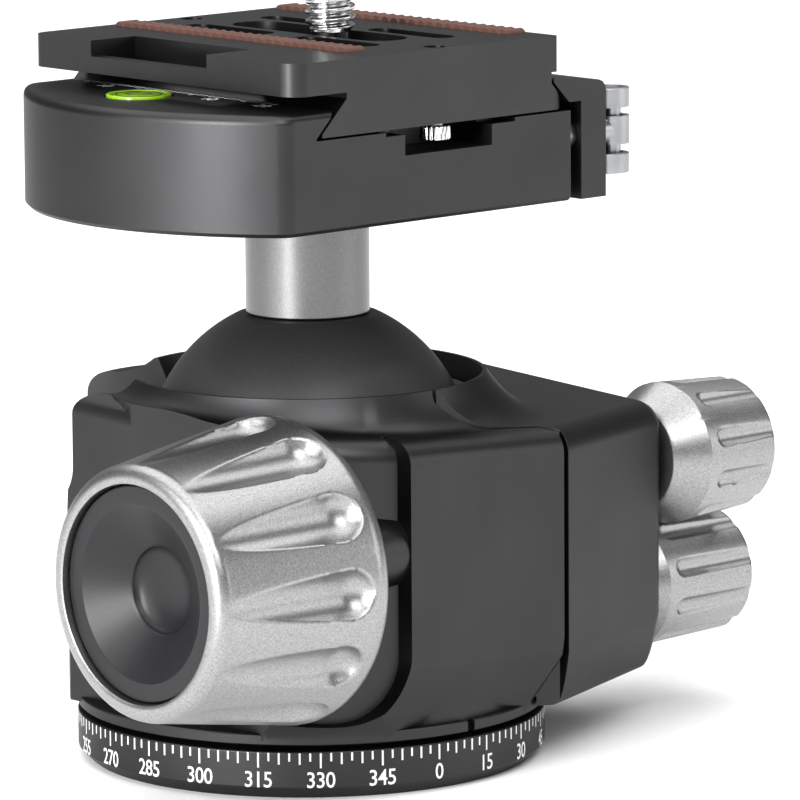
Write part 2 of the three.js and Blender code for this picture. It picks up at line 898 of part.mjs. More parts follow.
// The threads are shown as rings of the right pitch and depth
function threadProfile(rootRadius, crestRadius, bottom, pitch, count) {
  const points = [[rootRadius, bottom]];
  for (let i = 0; i < count; i += 1) {
    const start = bottom + i * pitch;
    points.push([crestRadius, start + pitch * (1 / 2 - threadCrestShare)]);
    points.push([crestRadius, start + pitch * (1 / 2 + threadCrestShare)]);
    points.push([rootRadius, start + pitch]);
  }
  return points;
}

function socketBush() {
  const top = spindleHeadTop - bushInset;
  const crest = bushThreadRadius - bushThreadDepth;
  const count = Math.floor((top - bushInset) / bushThreadPitch);
  const inner = threadProfile(bushThreadRadius, crest, bushInset, bushThreadPitch, count);
  const outline = [...inner, [bushThreadRadius, top], [bushRadius, top], [bushRadius, bushInset]];
  return solid(turned([...outline, inner[0]], threadSteps));
}

function panWasher() {
  const outer = footRecessRadius - fitGap;
  return solid(ring(outer - washerWidth, outer, washerBottom, washerTop, fineSteps));
}

// An arc about the ball's centre, between two polar angles from straight down
function seatArc(radius) {
  const points = [];
  const sweep = seatShellHighAngle - seatShellLowAngle;
  for (let i = 0; i <= seatArcSteps; i += 1) {
    const turn = (seatShellLowAngle + (sweep * i) / seatArcSteps) * radians;
    points.push([radius * Math.sin(turn), ballHeight - radius * Math.cos(turn)]);
  }
  return points;
}

function seatShell() {
  const inner = seatArc(seatInnerRadius);
  const outer = seatArc(seatOuterRadius).reverse();
  return solid(turned([...inner, ...outer, inner[0]], middleSteps));
}

function seatRing() {
  const bottom = ballHeight + seatRingStart;
  const top = ballHeight + seatRingEnd;
  const shell = solid(sphere(seatOuterRadius, ballHeight))
    .intersect(solid(rod(blockEnd, bottom, top, boxSteps)))
    .subtract(solid(sphere(seatInnerRadius, ballHeight)));
  return shell.subtract(dropSlot(fitGap));
}

function ball() {
  const flat = ballHeight + ballFlatHeight;
  return cut(solid(sphere(ballRadius, ballHeight)), [
    solid(rod(ballRadius, flat, ballHeight + ballRadius + overrun)),
    solid(rod(studRadius + fitGap, flat - studLength - fitGap, flat + overrun, smallSteps)),
  ]);
}

function stem() {
  const body = solid(turned([
    [0, stemBottom - studLength],
    [studRadius, stemBottom - studLength],
    [studRadius, stemBottom],
    [stemRadius - stemChamfer, stemBottom],
    [stemRadius, stemBottom + stemChamfer],
    [stemRadius, stemTop - stemChamfer],
    [stemRadius - stemChamfer, stemTop],
    [0, stemTop],
  ], middleSteps));
  const bore = rod(clampBoltRadius + fitGap, clampBoltTip() - fitGap, stemTop + overrun);
  return body.subtract(solid(bore));
}

function clampBoltHeadTop() {
  return grooveFloor - clampBoltSink;
}

function clampBoltTip() {
  return clampBoltHeadTop() - clampBoltHeadHeight - clampBoltLength;
}

function clampBolt() {
  const headBottom = clampBoltHeadTop() - clampBoltHeadHeight;
  const body = joined([
    solid(rod(clampBoltHeadRadius, headBottom, clampBoltHeadTop(), smallSteps)),
    solid(rod(clampBoltRadius, clampBoltTip(), clampBoltHeadTop(), smallSteps)),
  ]);
  const key = hexagon(clampKeyRadius, clampBoltHeadTop() - clampKeyDepth, grooveFloor);
  return body.subtract(solid(key));
}

// The main knob points to -X. Its own axis runs from the wide back to the capped end.
function mainKnobRadiusAt(height) {
  const share = (height - mainKnobBackRound) / (mainKnobLength - mainKnobBackRound);
  return mainKnobWideRadius + (mainKnobCapRadius - mainKnobWideRadius) * share;
}

function mainKnob() {
  const profile = [[0, 0], [mainKnobBackRadius, 0]];
  const roundStart = mainKnobLength - mainKnobRimRound;
  const steps = 5;
  for (let i = 1; i <= steps; i += 1) {
    const turn = (Math.PI / 2) * (i / steps);
    const reach = (mainKnobWideRadius - mainKnobBackRadius) * Math.sin(turn);
    profile.push([mainKnobBackRadius + reach, mainKnobBackRound * (1 - Math.cos(turn))]);
  }
  for (let i = 0; i <= steps; i += 1) {
    const turn = (Math.PI / 2) * (i / steps);
    const inset = mainKnobRimRound * (1 - Math.cos(turn));
    profile.push([mainKnobRadiusAt(roundStart) - inset, roundStart + mainKnobRimRound * Math.sin(turn)]);
  }
  profile.push([capRadius + fitGap, mainKnobLength]);
  profile.push([capRadius + fitGap, mainKnobLength - mainKnobRimWidth]);
  profile.push([0, mainKnobLength - mainKnobRimWidth]);
  const body = solid(turned(profile, knobSteps));
  const recess = rod(
    capRadius + fitGap, mainKnobLength - mainKnobRimWidth - capRecessDepth, mainKnobLength, knobSteps);
  const bore = rod(mainBoltRadius + fitGap, -overrun, mainKnobLength, smallSteps);
  const flutes = [];
  for (let i = 0; i < fluteCount; i += 1) {
    flutes.push(flute((2 * Math.PI * i) / fluteCount));
  }
  const knob = cut(body, [solid(recess), solid(bore), ...flutes]);
  return knob.rotate([0, -90, 0]).translate([mainKnobBack, mainAxisY, mainAxisZ]);
}

// A drop-shaped groove: a ball end near the knob's back that narrows toward its cap
function flute(turn) {
  const wideHeight = fluteStart + fluteWideRadius;
  const narrowHeight = mainKnobLength - fluteEndInset - fluteNarrowRadius;
  const wideReach = mainKnobRadiusAt(wideHeight) - fluteWideDepth + fluteWideRadius;
  const narrowReach = mainKnobRadiusAt(narrowHeight) - fluteNarrowDepth + fluteNarrowRadius;
  const length = Math.hypot(narrowHeight - wideHeight, narrowReach - wideReach);
  const lean = Math.atan2(narrowReach - wideReach, narrowHeight - wideHeight);
  const profile = [];
  const steps = 3;
  for (let i = 0; i <= steps; i += 1) {
    const angle = (Math.PI / 2) * (i / steps);
    profile.push([fluteWideRadius * Math.sin(angle), -fluteWideRadius * Math.cos(angle)]);
  }
  for (let i = 0; i <= steps; i += 1) {
    const angle = (Math.PI / 2) * (i / steps);
    profile.push([fluteNarrowRadius * Math.cos(angle), length + fluteNarrowRadius * Math.sin(angle)]);
  }
  profile[0][0] = 0;
  profile[profile.length - 1][0] = 0;
  const drop = turned(profile, fluteSteps);
  drop.rotateY(lean);
  drop.translate(wideReach, 0, wideHeight);
  drop.rotateZ(turn + Math.PI / 2);
  return solid(drop);
}

function mainKnobCap() {
  const dishRadius = capRadius - capRingWidth;
  const pitFloor = capHeight - capDishDepth - capPitDepth;
  const cap = solid(turned([
    [0, 0],
    [capRadius, 0],
    [capRadius, capHeight],
    [dishRadius, capHeight],
    [(dishRadius + capPitRadius) / 2, capHeight - capDishDepth * capDishShare],
    [capPitRadius, capHeight - capDishDepth],
    ...capPitShares.map(([across, up]) => [capPitRadius * across, pitFloor + capPitDepth * up]),
    [0, pitFloor],
  ], knobSteps));
  const start = mainKnobBack - (mainKnobLength - mainKnobRimWidth - capHeight);
  return cap.rotate([0, -90, 0]).translate([start, mainAxisY, mainAxisZ]);
}

function mainBolt() {
  const end = mainKnobBack - (mainKnobLength - mainKnobRimWidth - capRecessDepth);
  return boreAlongX(mainBoltRadius, end, mainBoltTip, mainAxisY, mainAxisZ);
}

function thrustWasher() {
  const start = mainKnobBack + fitGap;
  const washer = ring(mainBoltRadius + fitGap, thrustWasherRadius, 0, thrustWasherHeight, smallSteps);
  return solid(alongX(washer, start, mainAxisY, mainAxisZ));
}

// A small knob on the +X end, with a cone shoulder and straight grooves open at its end
function smallKnob(size) {
  const steps = 3;
  const profile = [[0, 0], [size.footRadius, 0], [size.radius, size.shoulder]];
  for (let i = 0; i <= steps; i += 1) {
    const turn = (Math.PI / 2) * (i / steps);
    const radius = size.endRadius - smallKnobEdge * (1 - Math.cos(turn));
    profile.push([radius, size.length - smallKnobEdge * (1 - Math.sin(turn))]);
  }
  profile.push([0, size.length]);
  const cutters = [solid(rod(smallScrewRadius + fitGap, -overrun, smallKnobScrewDepth + fitGap))];
  for (let i = 0; i < smallKnobGrooveCount; i += 1) {
    const groove = smallGroove(size);
    groove.rotateZ((2 * Math.PI * i) / smallKnobGrooveCount);
    cutters.push(solid(groove));
  }
  const knob = cut(solid(turned(profile, middleSteps)), cutters);
  return knob.rotate([0, 90, 0]).translate([smallKnobStart, size.y, size.z]);
}

function smallGroove(size) {
  const steps = 3;
  const start = size.shoulder + smallGrooveInset + smallGrooveRadius;
  const profile = [];
  for (let i = 0; i <= steps; i += 1) {
    const turn = (Math.PI / 2) * (i / steps);
    profile.push([smallGrooveRadius * Math.sin(turn), start - smallGrooveRadius * Math.cos(turn)]);
  }
  profile.push([smallGrooveRadius, size.length + overrun], [0, size.length + overrun]);
  const reach = (size.radius + size.endRadius) / 2 - smallGrooveDepth + smallGrooveRadius;
  return moved(turned(profile, grooveSteps), reach, 0, 0);
}

const frictionKnobSize = {
  length: frictionKnobLength,
  shoulder: frictionKnobShoulder,
  footRadius: frictionKnobFootRadius,
  radius: frictionKnobRadius,
  endRadius: frictionKnobEndRadius,
  y: frictionKnobY,
  z: frictionAxisZ,
};

const panKnobSize = {
  length: panKnobLength,
  shoulder: panKnobShoulder,
  footRadius: panKnobFootRadius,
  radius: panKnobRadius,
  endRadius: panKnobEndRadius,
  y: panKnobY,
  z: panAxisZ,
};

function smallScrew(from, size) {
  return boreAlongX(smallScrewRadius, from, smallKnobStart + smallKnobScrewDepth, size.y, size.z);
}

function frictionPad() {
  const pin = boreAlongX(frictionPadRadius, 0, frictionPadEnd, frictionKnobY, frictionAxisZ);
  return pin.subtract(solid(sphere(seatInnerRadius, ballHeight)))
    .intersect(solid(block(ballRadius / 2, blockEnd, -blockEnd, 0, 0, rimTop)));
}

function panLockShoe() {
  const shoe = block(
    panShoeStart, panShoeEnd, panKnobY - panShoeHalfWidth, panKnobY + panShoeHalfWidth,
    floorTop + fitGap, panAxisZ + panShoeAbove);
  const face = rod(roomRadius, 0, rimTop, fineSteps);
  return solid(shoe).subtract(solid(face));
}

function housingScrew(z) {
  const headEnd = housingScrewHeadX + housingScrewHeadLength;
  const body = joined([
    boreAlongX(housingScrewRadius, housingScrewTip, headEnd, housingScrewY, z),
    boreAlongX(housingScrewHeadRadius, housingScrewHeadX, headEnd, housingScrewY, z),
  ]);
  const key = hexagon(hexKeyRadius, headEnd - hexKeyDepth, headEnd + overrun);
  return body.subtract(solid(alongX(key, 0, housingScrewY, z)));
}

function clampCorner(x, y, from, to) {
  return roundSides(x, y, clampCornerRadius, from, to, clampCornerSteps);
}

function clampBody() {
  const cornerY = clampHalfWidth - clampCornerRadius;
  const cornerX = -Math.sqrt((clampRadius - clampCornerRadius) ** 2 - cornerY ** 2);
  const cornerTurn = Math.atan2(cornerY, cornerX) / radians;
  const sides = [
    side(0, clampRight, 0),
    ...clampCorner(cornerX, cornerY, 90, cornerTurn).slice(0, -1),
    ...roundSides(0, 0, clampRadius, cornerTurn, 360 - cornerTurn, clampArcSteps),
    ...clampCorner(cornerX, -cornerY, 360 - cornerTurn, 270).slice(1),
  ];
  const levels = [
    outlineOf(sides, clampLowChamfer).map(([x, y]) => [x, y, clampBottom]),
    outlineOf(sides, 0).map(([x, y]) => [x, y, clampBottom + clampLowChamfer]),
  ];
  for (let i = 0; i <= filletSteps; i += 1) {
    const turn = (Math.PI / 2) * (i / filletSteps);
    const inset = clampTopFillet * (1 - Math.cos(turn));
    const height = clampTop - clampTopFillet * (1 - Math.sin(turn));
    levels.push(outlineOf(sides, inset).map(([x, y]) => [x, y, height]));
  }
  const lipRun = clampTop - grooveFloor - lipFoot;
  const groove = bar([
    [lipTipX + overrun, clampTop + overrun],
    [lipTipX, clampTop],
    [lipTipX - lipRun, grooveFloor + lipFoot],
    [lipTipX - lipRun, grooveFloor],
    [clampRight + overrun, grooveFloor],
    [clampRight + overrun, clampTop + overrun],
  ], -clampHalfWidth - overrun, clampHalfWidth + overrun);
  const boltHead = rod(
    clampBoltHeadRadius + fitGap, clampBoltHeadTop() - clampBoltHeadHeight - fitGap,
    clampTop, middleSteps);
  const cutters = [
    solid(groove),
    solid(rod(clampBoltRadius + fitGap, clampBottom - overrun, clampTop)),
    solid(boltHead),
    solid(moved(rod(levelRadius + fitGap, clampTop - levelHeight, clampTop + overrun, middleSteps),
      levelX, levelY, 0)),
    boreAlongX(rodRadius + fitGap, clampRight - rodDepth - fitGap, jawLeft, rodY, rodZ),
  ];
  for (const end of [-1, 1]) {
    cutters.push(solid(stopNotch(end, notchLeft, notchRight, notchLength, notchDepth)));
    cutters.push(solid(stopNotch(end, notchStepLeft, notchStepRight, notchStepLength, notchStepDepth)));
    cutters.push(jawPinBore(end));
  }
  return cut(solid(lofted(levels)), cutters);
}

function stopNotch(end, left, right, length, depth) {
  const outer = clampHalfWidth + overrun;
  const inner = clampHalfWidth - length;
  const front = end < 0 ? -outer : inner;
  const back = end < 0 ? -inner : outer;
  return block(left, right, front, back, grooveFloor - depth, grooveFloor + overrun);
}

function jawPinBore(end) {
  const pin = boreAlongX(
    jawPinRadius + fitGap, clampRight - jawPinDepth - fitGap, jawLeft, end * jawPinY, jawPinZ);
  const pocket = springRadius + springWireRadius + fitGap;
  const spring = boreAlongX(pocket, springStart() - fitGap, jawLeft, end * jawPinY, jawPinZ);
  return joined([pin, spring]);
}

function springStart() {
  return jawLeft - fitGap - springTurnCount * (3 * springWireRadius + fitGap);
}

function levelCup() {
  const bottom = clampTop - levelHeight + fitGap;
  const cup = solid(rod(levelRadius, bottom, clampTop + levelRise, middleSteps));
  const room = rod(levelRadius - levelWall, bottom + levelFloor, clampTop + overrun, middleSteps);
  return cup.subtract(solid(room)).translate([levelX, levelY, 0]);
}

function levelLens() {
  const bottom = clampTop - levelHeight + fitGap + levelFloor + fitGap;
  const radius = levelRadius - levelWall - fitGap;
  const lens = rod(radius, bottom, clampTop + levelRise, middleSteps);
  return solid(lens).translate([levelX, levelY, 0]);
}

function movingJaw() {
  const jaw = bar([
    [jawLeft, clampBottom],
    [jawRight, clampBottom],
    [jawRight, jawTop - jawTopFall - jawTopRound],
    [jawRight - jawTopRound / 3, jawTop - jawTopFall - jawTopRound / 3],
    [jawRight - jawTopRound, jawTop - jawTopFall],
    [jawTip, jawTop],
    [jawTip, jawTop - jawLipHeight],
    [jawUndercut - jawUndercutFoot(), jawUndercutFoot()],
    [jawLeft, jawUndercutFoot()],
  ], -clampHalfWidth, clampHalfWidth);
  const cutters = [boreAlongX(rodRadius + fitGap, clampRight, jawRight + overrun, rodY, rodZ)];
  for (const end of [-1, 1]) {
    cutters.push(boreAlongX(
      jawPinRadius + fitGap, clampRight, jawRight + overrun, end * jawPinY, jawPinZ));
  }
  return cut(solid(jaw), cutters);
}

function jawUndercutFoot() {
  return plateBottom + plateFoot + fitGap;
}

function jawPin(end) {
  return boreAlongX(
    jawPinRadius, clampRight - jawPinDepth, jawRight - fitGap, end * jawPinY, jawPinZ);
}

// A coil around a guide pin, from the bottom of its pocket to the jaw
function jawSpring(end) {
  const length = jawLeft - fitGap - springStart() - 2 * springWireRadius;
  const rings = springTurnCount * springStepCount;
  const positions = [];
  for (let i = 0; i <= rings; i += 1) {
    const turn = (2 * Math.PI * i) / springStepCount;
    const height = springWireRadius + (length * i) / rings;
    for (let j = 0; j < springSideCount; j += 1) {
      const around = (2 * Math.PI * j) / springSideCount;
      const reach = springRadius + springWireRadius * Math.cos(around);
      positions.push(reach * Math.cos(turn), reach * Math.sin(turn));
      positions.push(height + springWireRadius * Math.sin(around));
    }
  }
  const index = [];
  for (let i = 0; i < rings; i += 1) {
    for (let j = 0; j < springSideCount; j += 1) {
      const a = i * springSideCount + j;
      const b = i * springSideCount + ((j + 1) % springSideCount);
      index.push(a, b, b + springSideCount, a, b + springSideCount, a + springSideCount);
    }
  }
  const last = rings * springSideCount;
  for (let j = 1; j + 1 < springSideCount; j += 1) {
    index.push(0, j + 1, j, last, last + j, last + j + 1);
  }
  const geometry = new THREE.BufferGeometry();
  geometry.setAttribute("position", new THREE.Float32BufferAttribute(positions, 3));
  geometry.setIndex(index);
  return solid(alongX(geometry, springStart(), end * jawPinY, jawPinZ));
}

function drawRod() {
  const shank = boreAlongX(rodRadius, clampRight - rodDepth, leverPinX, rodY, rodZ);
  const barrel = moved(rod(barrelRadius, forkLow + fitGap, forkHigh - fitGap), leverPinX, rodY, 0);
  const hole = moved(rod(leverPinRadius + fitGap, leverLow, leverHigh, tinySteps), leverPinX, rodY, 0);
  return joined([shank, solid(barrel)]).subtract(solid(hole));
}

function lever() {
  const tipY = rodY + leverLength;
  const armLeft = jawRight + fitGap;
  const armRight = armLeft + leverThickness;
  const arm = block(armLeft, armRight, rodY, tipY - leverTipRadius, leverLow, leverHigh);
  const tip = rod(leverThickness / 2, leverLow, leverHigh, smallSteps);
  const eyes = moved(rod(leverEyeRadius, leverLow, leverHigh, eyeSteps), leverEyeX, rodY, 0);
  const fork = block(
    armLeft - overrun, leverPinX + leverEyeRadius + overrun, rodY - leverEyeRadius - overrun,
    rodY + leverForkLength, forkLow, forkHigh);
  const hole = moved(
    rod(leverPinRadius + fitGap, leverLow - overrun, leverHigh + overrun, tinySteps), leverPinX, rodY, 0);
  const whole = joined([
    solid(arm),
    solid(moved(tip, (armLeft + armRight) / 2, tipY - leverTipRadius, 0)),
    solid(eyes),
  ]);
  return cut(whole, [solid(fork), solid(hole)]);
}

function leverPin() {
  const pin = rod(leverPinRadius, leverLow + leverPinInset, leverHigh - leverPinInset, tinySteps);
  return solid(moved(pin, leverPinX, rodY, 0));
}

function roundedPlan(left, right, halfLength, radius) {
  const x = [left + radius, right - radius];
  const y = halfLength - radius;
  return [
    ...roundSides(x[1], y, radius, 0, 90, 4),
    ...roundSides(x[0], y, radius, 90, 180, 4).slice(1),
    ...roundSides(x[0], -y, radius, 180, 270, 4).slice(1),
    ...roundSides(x[1], -y, radius, 270, 360, 4).slice(1, -1),
  ];
}

// A straight slot along Y with round ends
function slot(centreX, halfWidth, front, back, bottom, top) {
  const steps = 8;
  const outline = [];
  for (let i = 0; i <= steps; i += 1) {
    const turn = (Math.PI * i) / steps;
    outline.push([centreX + halfWidth * Math.cos(turn), back - halfWidth + halfWidth * Math.sin(turn)]);
  }
  for (let i = 0; i <= steps; i += 1) {
    const turn = Math.PI + (Math.PI * i) / steps;
    outline.push([centreX + halfWidth * Math.cos(turn), front + halfWidth + halfWidth * Math.sin(turn)]);
  }
  return solid(prism(outline, bottom, top));
}

function releasePlate() {
  const profile = bar([
    [plateFootLeft, plateBottom],
    [plateWide, plateBottom],
    [plateWide, plateBottom + plateFoot],
    [plateNeckRight, plateBottom + plateFoot + plateWide - plateNeckRight],
    [plateNeckRight, plateFlange - plateNeckDrop],
    [plateRight, plateFlange - plateNeckDrop],
    [plateRight, plateTop],
    [plateLeft, plateTop],
    [plateLeft, plateFlange],
    [plateNeckLeft, plateFlange],
    [plateNeckLeft, plateFlange - plateNeck],
    [plateFootLeft, plateBottom + plateFoot],
  ], -plateHalfLength, plateHalfLength);
  const sides = roundedPlan(plateLeft, plateWide, plateHalfLength, plateCornerRadius);
  const plan = lofted([
    outlineOf(sides, 0).map(([x, y]) => [x, y, 0]),
    outlineOf(sides, 0).map(([x, y]) => [x, y, plateTop + overrun]),
  ]);
  const top = plateTop + overrun;
  const headReach = cameraHeadRadius - slotHalfWidth + recessEndGap;
  const recessFront = slotFront - headReach;
  const recessBack = slotBack + headReach;
  const cutters = [
    solid(block(
      cameraScrewX - recessHalfWidth, cameraScrewX + recessHalfWidth, recessFront, recessBack,
      plateBottom - overrun, webBottom)),
    slot(cameraScrewX, slotHalfWidth, slotFront, slotBack, plateBottom, top),
    solid(block(strapLeft, strapRight, strapFront, strapBack, plateFlange - overrun, top)),
    solid(block(plateLeft - overrun, strapLeft + overrun, strapFront, strapBack,
      plateTop - strapBarDrop, top)),
    stripGroove(stripLeftX),
    stripGroove(stripRightX),
  ];
  for (const hand of [-1, 1]) {
    const x = cameraScrewX + hand * sideSlotOffset;
    const front = recessFront + sideSlotEndInset;
    const back = recessBack - sideSlotEndInset;
    cutters.push(slot(x, sideSlotHalfWidth, front, -sideSlotMiddle, plateBottom, top));
    cutters.push(slot(x, sideSlotHalfWidth, sideSlotMiddle, back, plateBottom, top));
    const holeTop = plateBottom + stopShankLength + fitGap;
    const hole = rod(stopShankRadius + fitGap, plateBottom - overrun, holeTop);
    cutters.push(solid(moved(hole, stopPinX, hand * stopPinY, 0)));
  }
  return cut(solid(profile).intersect(solid(plan)), cutters);
}

function stripGroove(x) {
  const half = stripWidth / 2 + fitGap;
  return solid(block(
    x - half, x + half, stripFront - fitGap, stripBack + fitGap,
    plateTop - stripDepth - fitGap, plateTop + overrun));
}

// A rubber strip with cross ribs that stand proud of the plate
function rubberStrip(x) {
  const bottom = plateTop - stripDepth;
  const pitch = (stripBack - stripFront) / stripRibCount;
  const outline = [[stripFront, bottom], [stripBack, bottom]];
  for (let i = stripRibCount - 1; i >= 0; i -= 1) {
    const start = stripFront + i * pitch;
    outline.push([start + pitch, plateTop]);
    for (const share of stripRibShares) {
      outline.push([start + pitch * share, plateTop + stripRise]);
    }
  }
  outline.push([stripFront, plateTop]);
  return solid(crossBar(outline, x - stripWidth / 2, x + stripWidth / 2));
}

function cameraScrew() {
  const root = cameraThreadRadius - cameraThreadDepth;
  const thread = threadProfile(
    root, cameraThreadRadius, threadBottom, cameraThreadPitch, cameraThreadCount);
  const top = thread[thread.length - 1][1];
  const body = solid(turned([
    [0, cameraHeadBottom],
    [cameraHeadRadius, cameraHeadBottom],
    [cameraHeadRadius, cameraHeadTop],
    [cameraNeckRadius, cameraHeadTop],
    [cameraNeckRadius, threadBottom],
    ...thread,
    [root - cameraThreadDepth / 2, top + cameraTipHeight],
    [0, top + cameraTipHeight],
  ], threadSteps));
  const coin = block(
    -cameraHeadRadius - overrun, cameraHeadRadius + overrun, -coinSlotWidth / 2, coinSlotWidth / 2,
    cameraHeadBottom - overrun, cameraHeadBottom + coinSlotDepth);
  return body.subtract(solid(coin)).translate([cameraScrewX, cameraScrewY, 0]);
}

function screwClip() {
  const plate = block(-clipHalfWidth, clipHalfWidth, -clipHalfWidth, clipHalfWidth, clipBottom, clipTop);
  const bore = rod(cameraNeckRadius + fitGap, clipBottom - overrun, clipTop + overrun, middleSteps);
  return solid(plate).subtract(solid(bore)).translate([cameraScrewX, cameraScrewY, 0]);
}

function stopPin(end) {
  const bottom = stopPinTop - stopPinHeight;
  const outline = [];
  for (let i = 0; i < 2 * stopPinRibCount; i += 1) {
    const turn = (Math.PI * i) / stopPinRibCount;
    const reach = i % 2 === 0 ? stopPinRadius : stopPinRadius - stopRibDepth;
    outline.push([reach * Math.cos(turn), reach * Math.sin(turn)]);
  }
  const head = prism(outline, bottom, stopPinTop);
  const shank = rod(stopShankRadius, bottom, plateBottom + stopShankLength, tinySteps);
  return joined([solid(head), solid(shank)]).translate([stopPinX, end * stopPinY, 0]);
}

// Plain colours that tell the materials apart
const colours = {
  blackMetal: 0x26272a,
  satinMetal: 0xa7a8aa,
  brightMetal: 0xd4d6d9,
  brass: 0xb49a5a,
  blackPlastic: 0x1b1b1d,
  palePlastic: 0xd8d6cc,
  brownRubber: 0x6e3f2c,
  greenGlass: 0x9bd01e,
};

const materials = {};
for (const [name, colour] of Object.entries(colours)) {
  materials[name] = new THREE.MeshStandardMaterial({ name, color: colour });
}

const model = new THREE.Group();
model.name = "tripod_ball_head";

function place(name, shape, material) {
  const mesh = shape.getMesh();
  const geometry = new THREE.BufferGeometry();
  geometry.setAttribute("position", new THREE.BufferAttribute(mesh.vertProperties, 3));
  geometry.setIndex(new THREE.BufferAttribute(mesh.triVerts, 1));
  geometry.computeVertexNormals();
  const piece = new THREE.Mesh(geometry, material);
  piece.name = name;
  model.add(piece);
}

const {
  blackMetal, satinMetal, brightMetal, brass, blackPlastic, palePlastic, brownRubber, greenGlass,
} = materials;

place("base_ring", baseRing(), blackMetal);
place("socket_bush", socketBush(), brightMetal);
place("pan_spindle", panSpindle(), satinMetal);
eachSpindleScrew((x, y, i) => {
  place(`spindle_screw_${"abc"[i]}`, spindleScrew(x, y), brightMetal);
});
place("pan_washer", panWasher(), palePlastic);
place("housing_main", housingMain(), blackMetal);
place("housing_side", housingSide(), blackMetal);
place("housing_screw_low", housingScrew(housingScrewLowHeight), brightMetal);
place("housing_screw_high", housingScrew(housingScrewHighHeight), brightMetal);
place("seat_shell", seatShell(), palePlastic);
place("seat_ring", seatRing(), palePlastic);
place("ball", ball(), blackMetal);
place("stem", stem(), brightMetal);
place("main_knob", mainKnob(), satinMetal);
place("main_knob_cap", mainKnobCap(), blackPlastic);
place("main_bolt", mainBolt(), brightMetal);
place("thrust_washer", thrustWasher(), brass);
place("friction_knob", smallKnob(frictionKnobSize), satinMetal);
place("friction_screw", smallScrew(frictionPadEnd + fitGap, frictionKnobSize), brightMetal);
place("friction_pad", frictionPad(), palePlastic);
place("pan_lock_knob", smallKnob(panKnobSize), satinMetal);
place("pan_lock_screw", smallScrew(panShoeEnd + fitGap, panKnobSize), brightMetal);
place("pan_lock_shoe", panLockShoe(), brass);
place("clamp_body", clampBody(), blackMetal);
place("clamp_bolt", clampBolt(), brightMetal);
place("level_cup", levelCup(), blackPlastic);
place("level_lens", levelLens(), greenGlass);
place("moving_jaw", movingJaw(), blackMetal);
place("jaw_pin_front", jawPin(-1), brightMetal);
place("jaw_pin_back", jawPin(1), brightMetal);
place("jaw_spring_front", jawSpring(-1), brightMetal);
place("jaw_spring_back", jawSpring(1), brightMetal);
place("draw_rod", drawRod(), brightMetal);
place("lever", lever(), brightMetal);
place("lever_pin", leverPin(), brightMetal);
place("release_plate", releasePlate(), blackMetal);
place("rubber_strip_left", rubberStrip(stripLeftX), brownRubber);
place("rubber_strip_right", rubberStrip(stripRightX), brownRubber);
place("camera_screw", cameraScrew(), brightMetal);
place("screw_clip", screwClip(), brightMetal);
place("stop_pin_front", stopPin(-1), brightMetal);
place("stop_pin_back", stopPin(1), brightMetal);

export default model;
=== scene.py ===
# %% [markdown]
# # A tripod ball head
# A ball head holds a camera on a tripod. A ball with a stem sits in a pinched housing, a big
# knob closes the pinch, and a clamp on the stem takes a sliding plate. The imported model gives
# every piece its place and its motion. This lesson gives each piece its real surface: finer
# rounding, the flutes and ribs that fingers feel, and a material made from nodes.

# %% Load the frame
import math

import bmesh
import bpy
import numpy as np
from mathutils import Matrix, Vector
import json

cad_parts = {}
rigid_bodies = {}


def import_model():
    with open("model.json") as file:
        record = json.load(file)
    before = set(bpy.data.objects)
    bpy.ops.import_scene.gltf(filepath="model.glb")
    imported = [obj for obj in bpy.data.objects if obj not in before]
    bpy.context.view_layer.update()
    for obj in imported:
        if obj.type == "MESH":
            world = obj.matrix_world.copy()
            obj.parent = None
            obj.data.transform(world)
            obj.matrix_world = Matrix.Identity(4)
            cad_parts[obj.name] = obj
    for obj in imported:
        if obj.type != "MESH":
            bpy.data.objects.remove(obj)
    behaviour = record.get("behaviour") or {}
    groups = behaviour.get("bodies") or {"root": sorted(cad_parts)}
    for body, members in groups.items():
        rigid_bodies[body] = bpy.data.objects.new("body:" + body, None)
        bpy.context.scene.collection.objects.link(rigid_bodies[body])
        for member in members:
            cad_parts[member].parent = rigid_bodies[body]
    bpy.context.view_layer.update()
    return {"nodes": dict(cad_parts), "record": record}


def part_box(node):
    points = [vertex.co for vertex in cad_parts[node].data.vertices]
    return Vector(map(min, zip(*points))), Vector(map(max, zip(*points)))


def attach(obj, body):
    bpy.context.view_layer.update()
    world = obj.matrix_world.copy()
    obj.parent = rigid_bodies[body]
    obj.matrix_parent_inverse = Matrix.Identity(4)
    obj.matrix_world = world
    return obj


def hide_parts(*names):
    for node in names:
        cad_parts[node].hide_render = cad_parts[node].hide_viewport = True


for thing in list(bpy.data.objects):
    bpy.data.objects.remove(thing)
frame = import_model()

# %% [markdown]
# Everything on this object is a few millimetres to a few centimetres across, so the lesson
# thinks in millimetres and turns them into Blender's metres in one place. Each place is read
# from the frame's own boxes, so that a finer piece sits exactly where the plain one was.

# %% Sizes from the frame
MM = 0.001


def box_mm(node):
    low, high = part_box(node)
    return low / MM, high / MM


def middle(node):
    low, high = box_mm(node)
    return (low + high) / 2


BODY_OF = {n: b for b, nodes in frame["record"]["behaviour"]["bodies"].items() for n in nodes}

ball_low, ball_high = box_mm("ball")
BALL_RADIUS = (ball_high.x - ball_low.x) / 2
BALL_Z = ball_low.z + BALL_RADIUS
print("ball radius", round(BALL_RADIUS, 2), "mm at height", round(BALL_Z, 2))

# %% [markdown]
# The camera stands where the photograph was taken from: low, in front of the knob's side, and
# far away with a long lens, so that upright edges stay nearly parallel. Its place was worked
# out from the round foot, the ticks of the dial and the long straight edges of the plate.

# %% Camera at the photograph's angle
CAMERA_TURN = -41.987
CAMERA_DISTANCE = 844.744
CAMERA_HEIGHT = 187.077
CAMERA_PITCH = 9.524
CAMERA_YAW = -0.79
CAMERA_ROLL = -0.392
CAMERA_LENS = 302.18


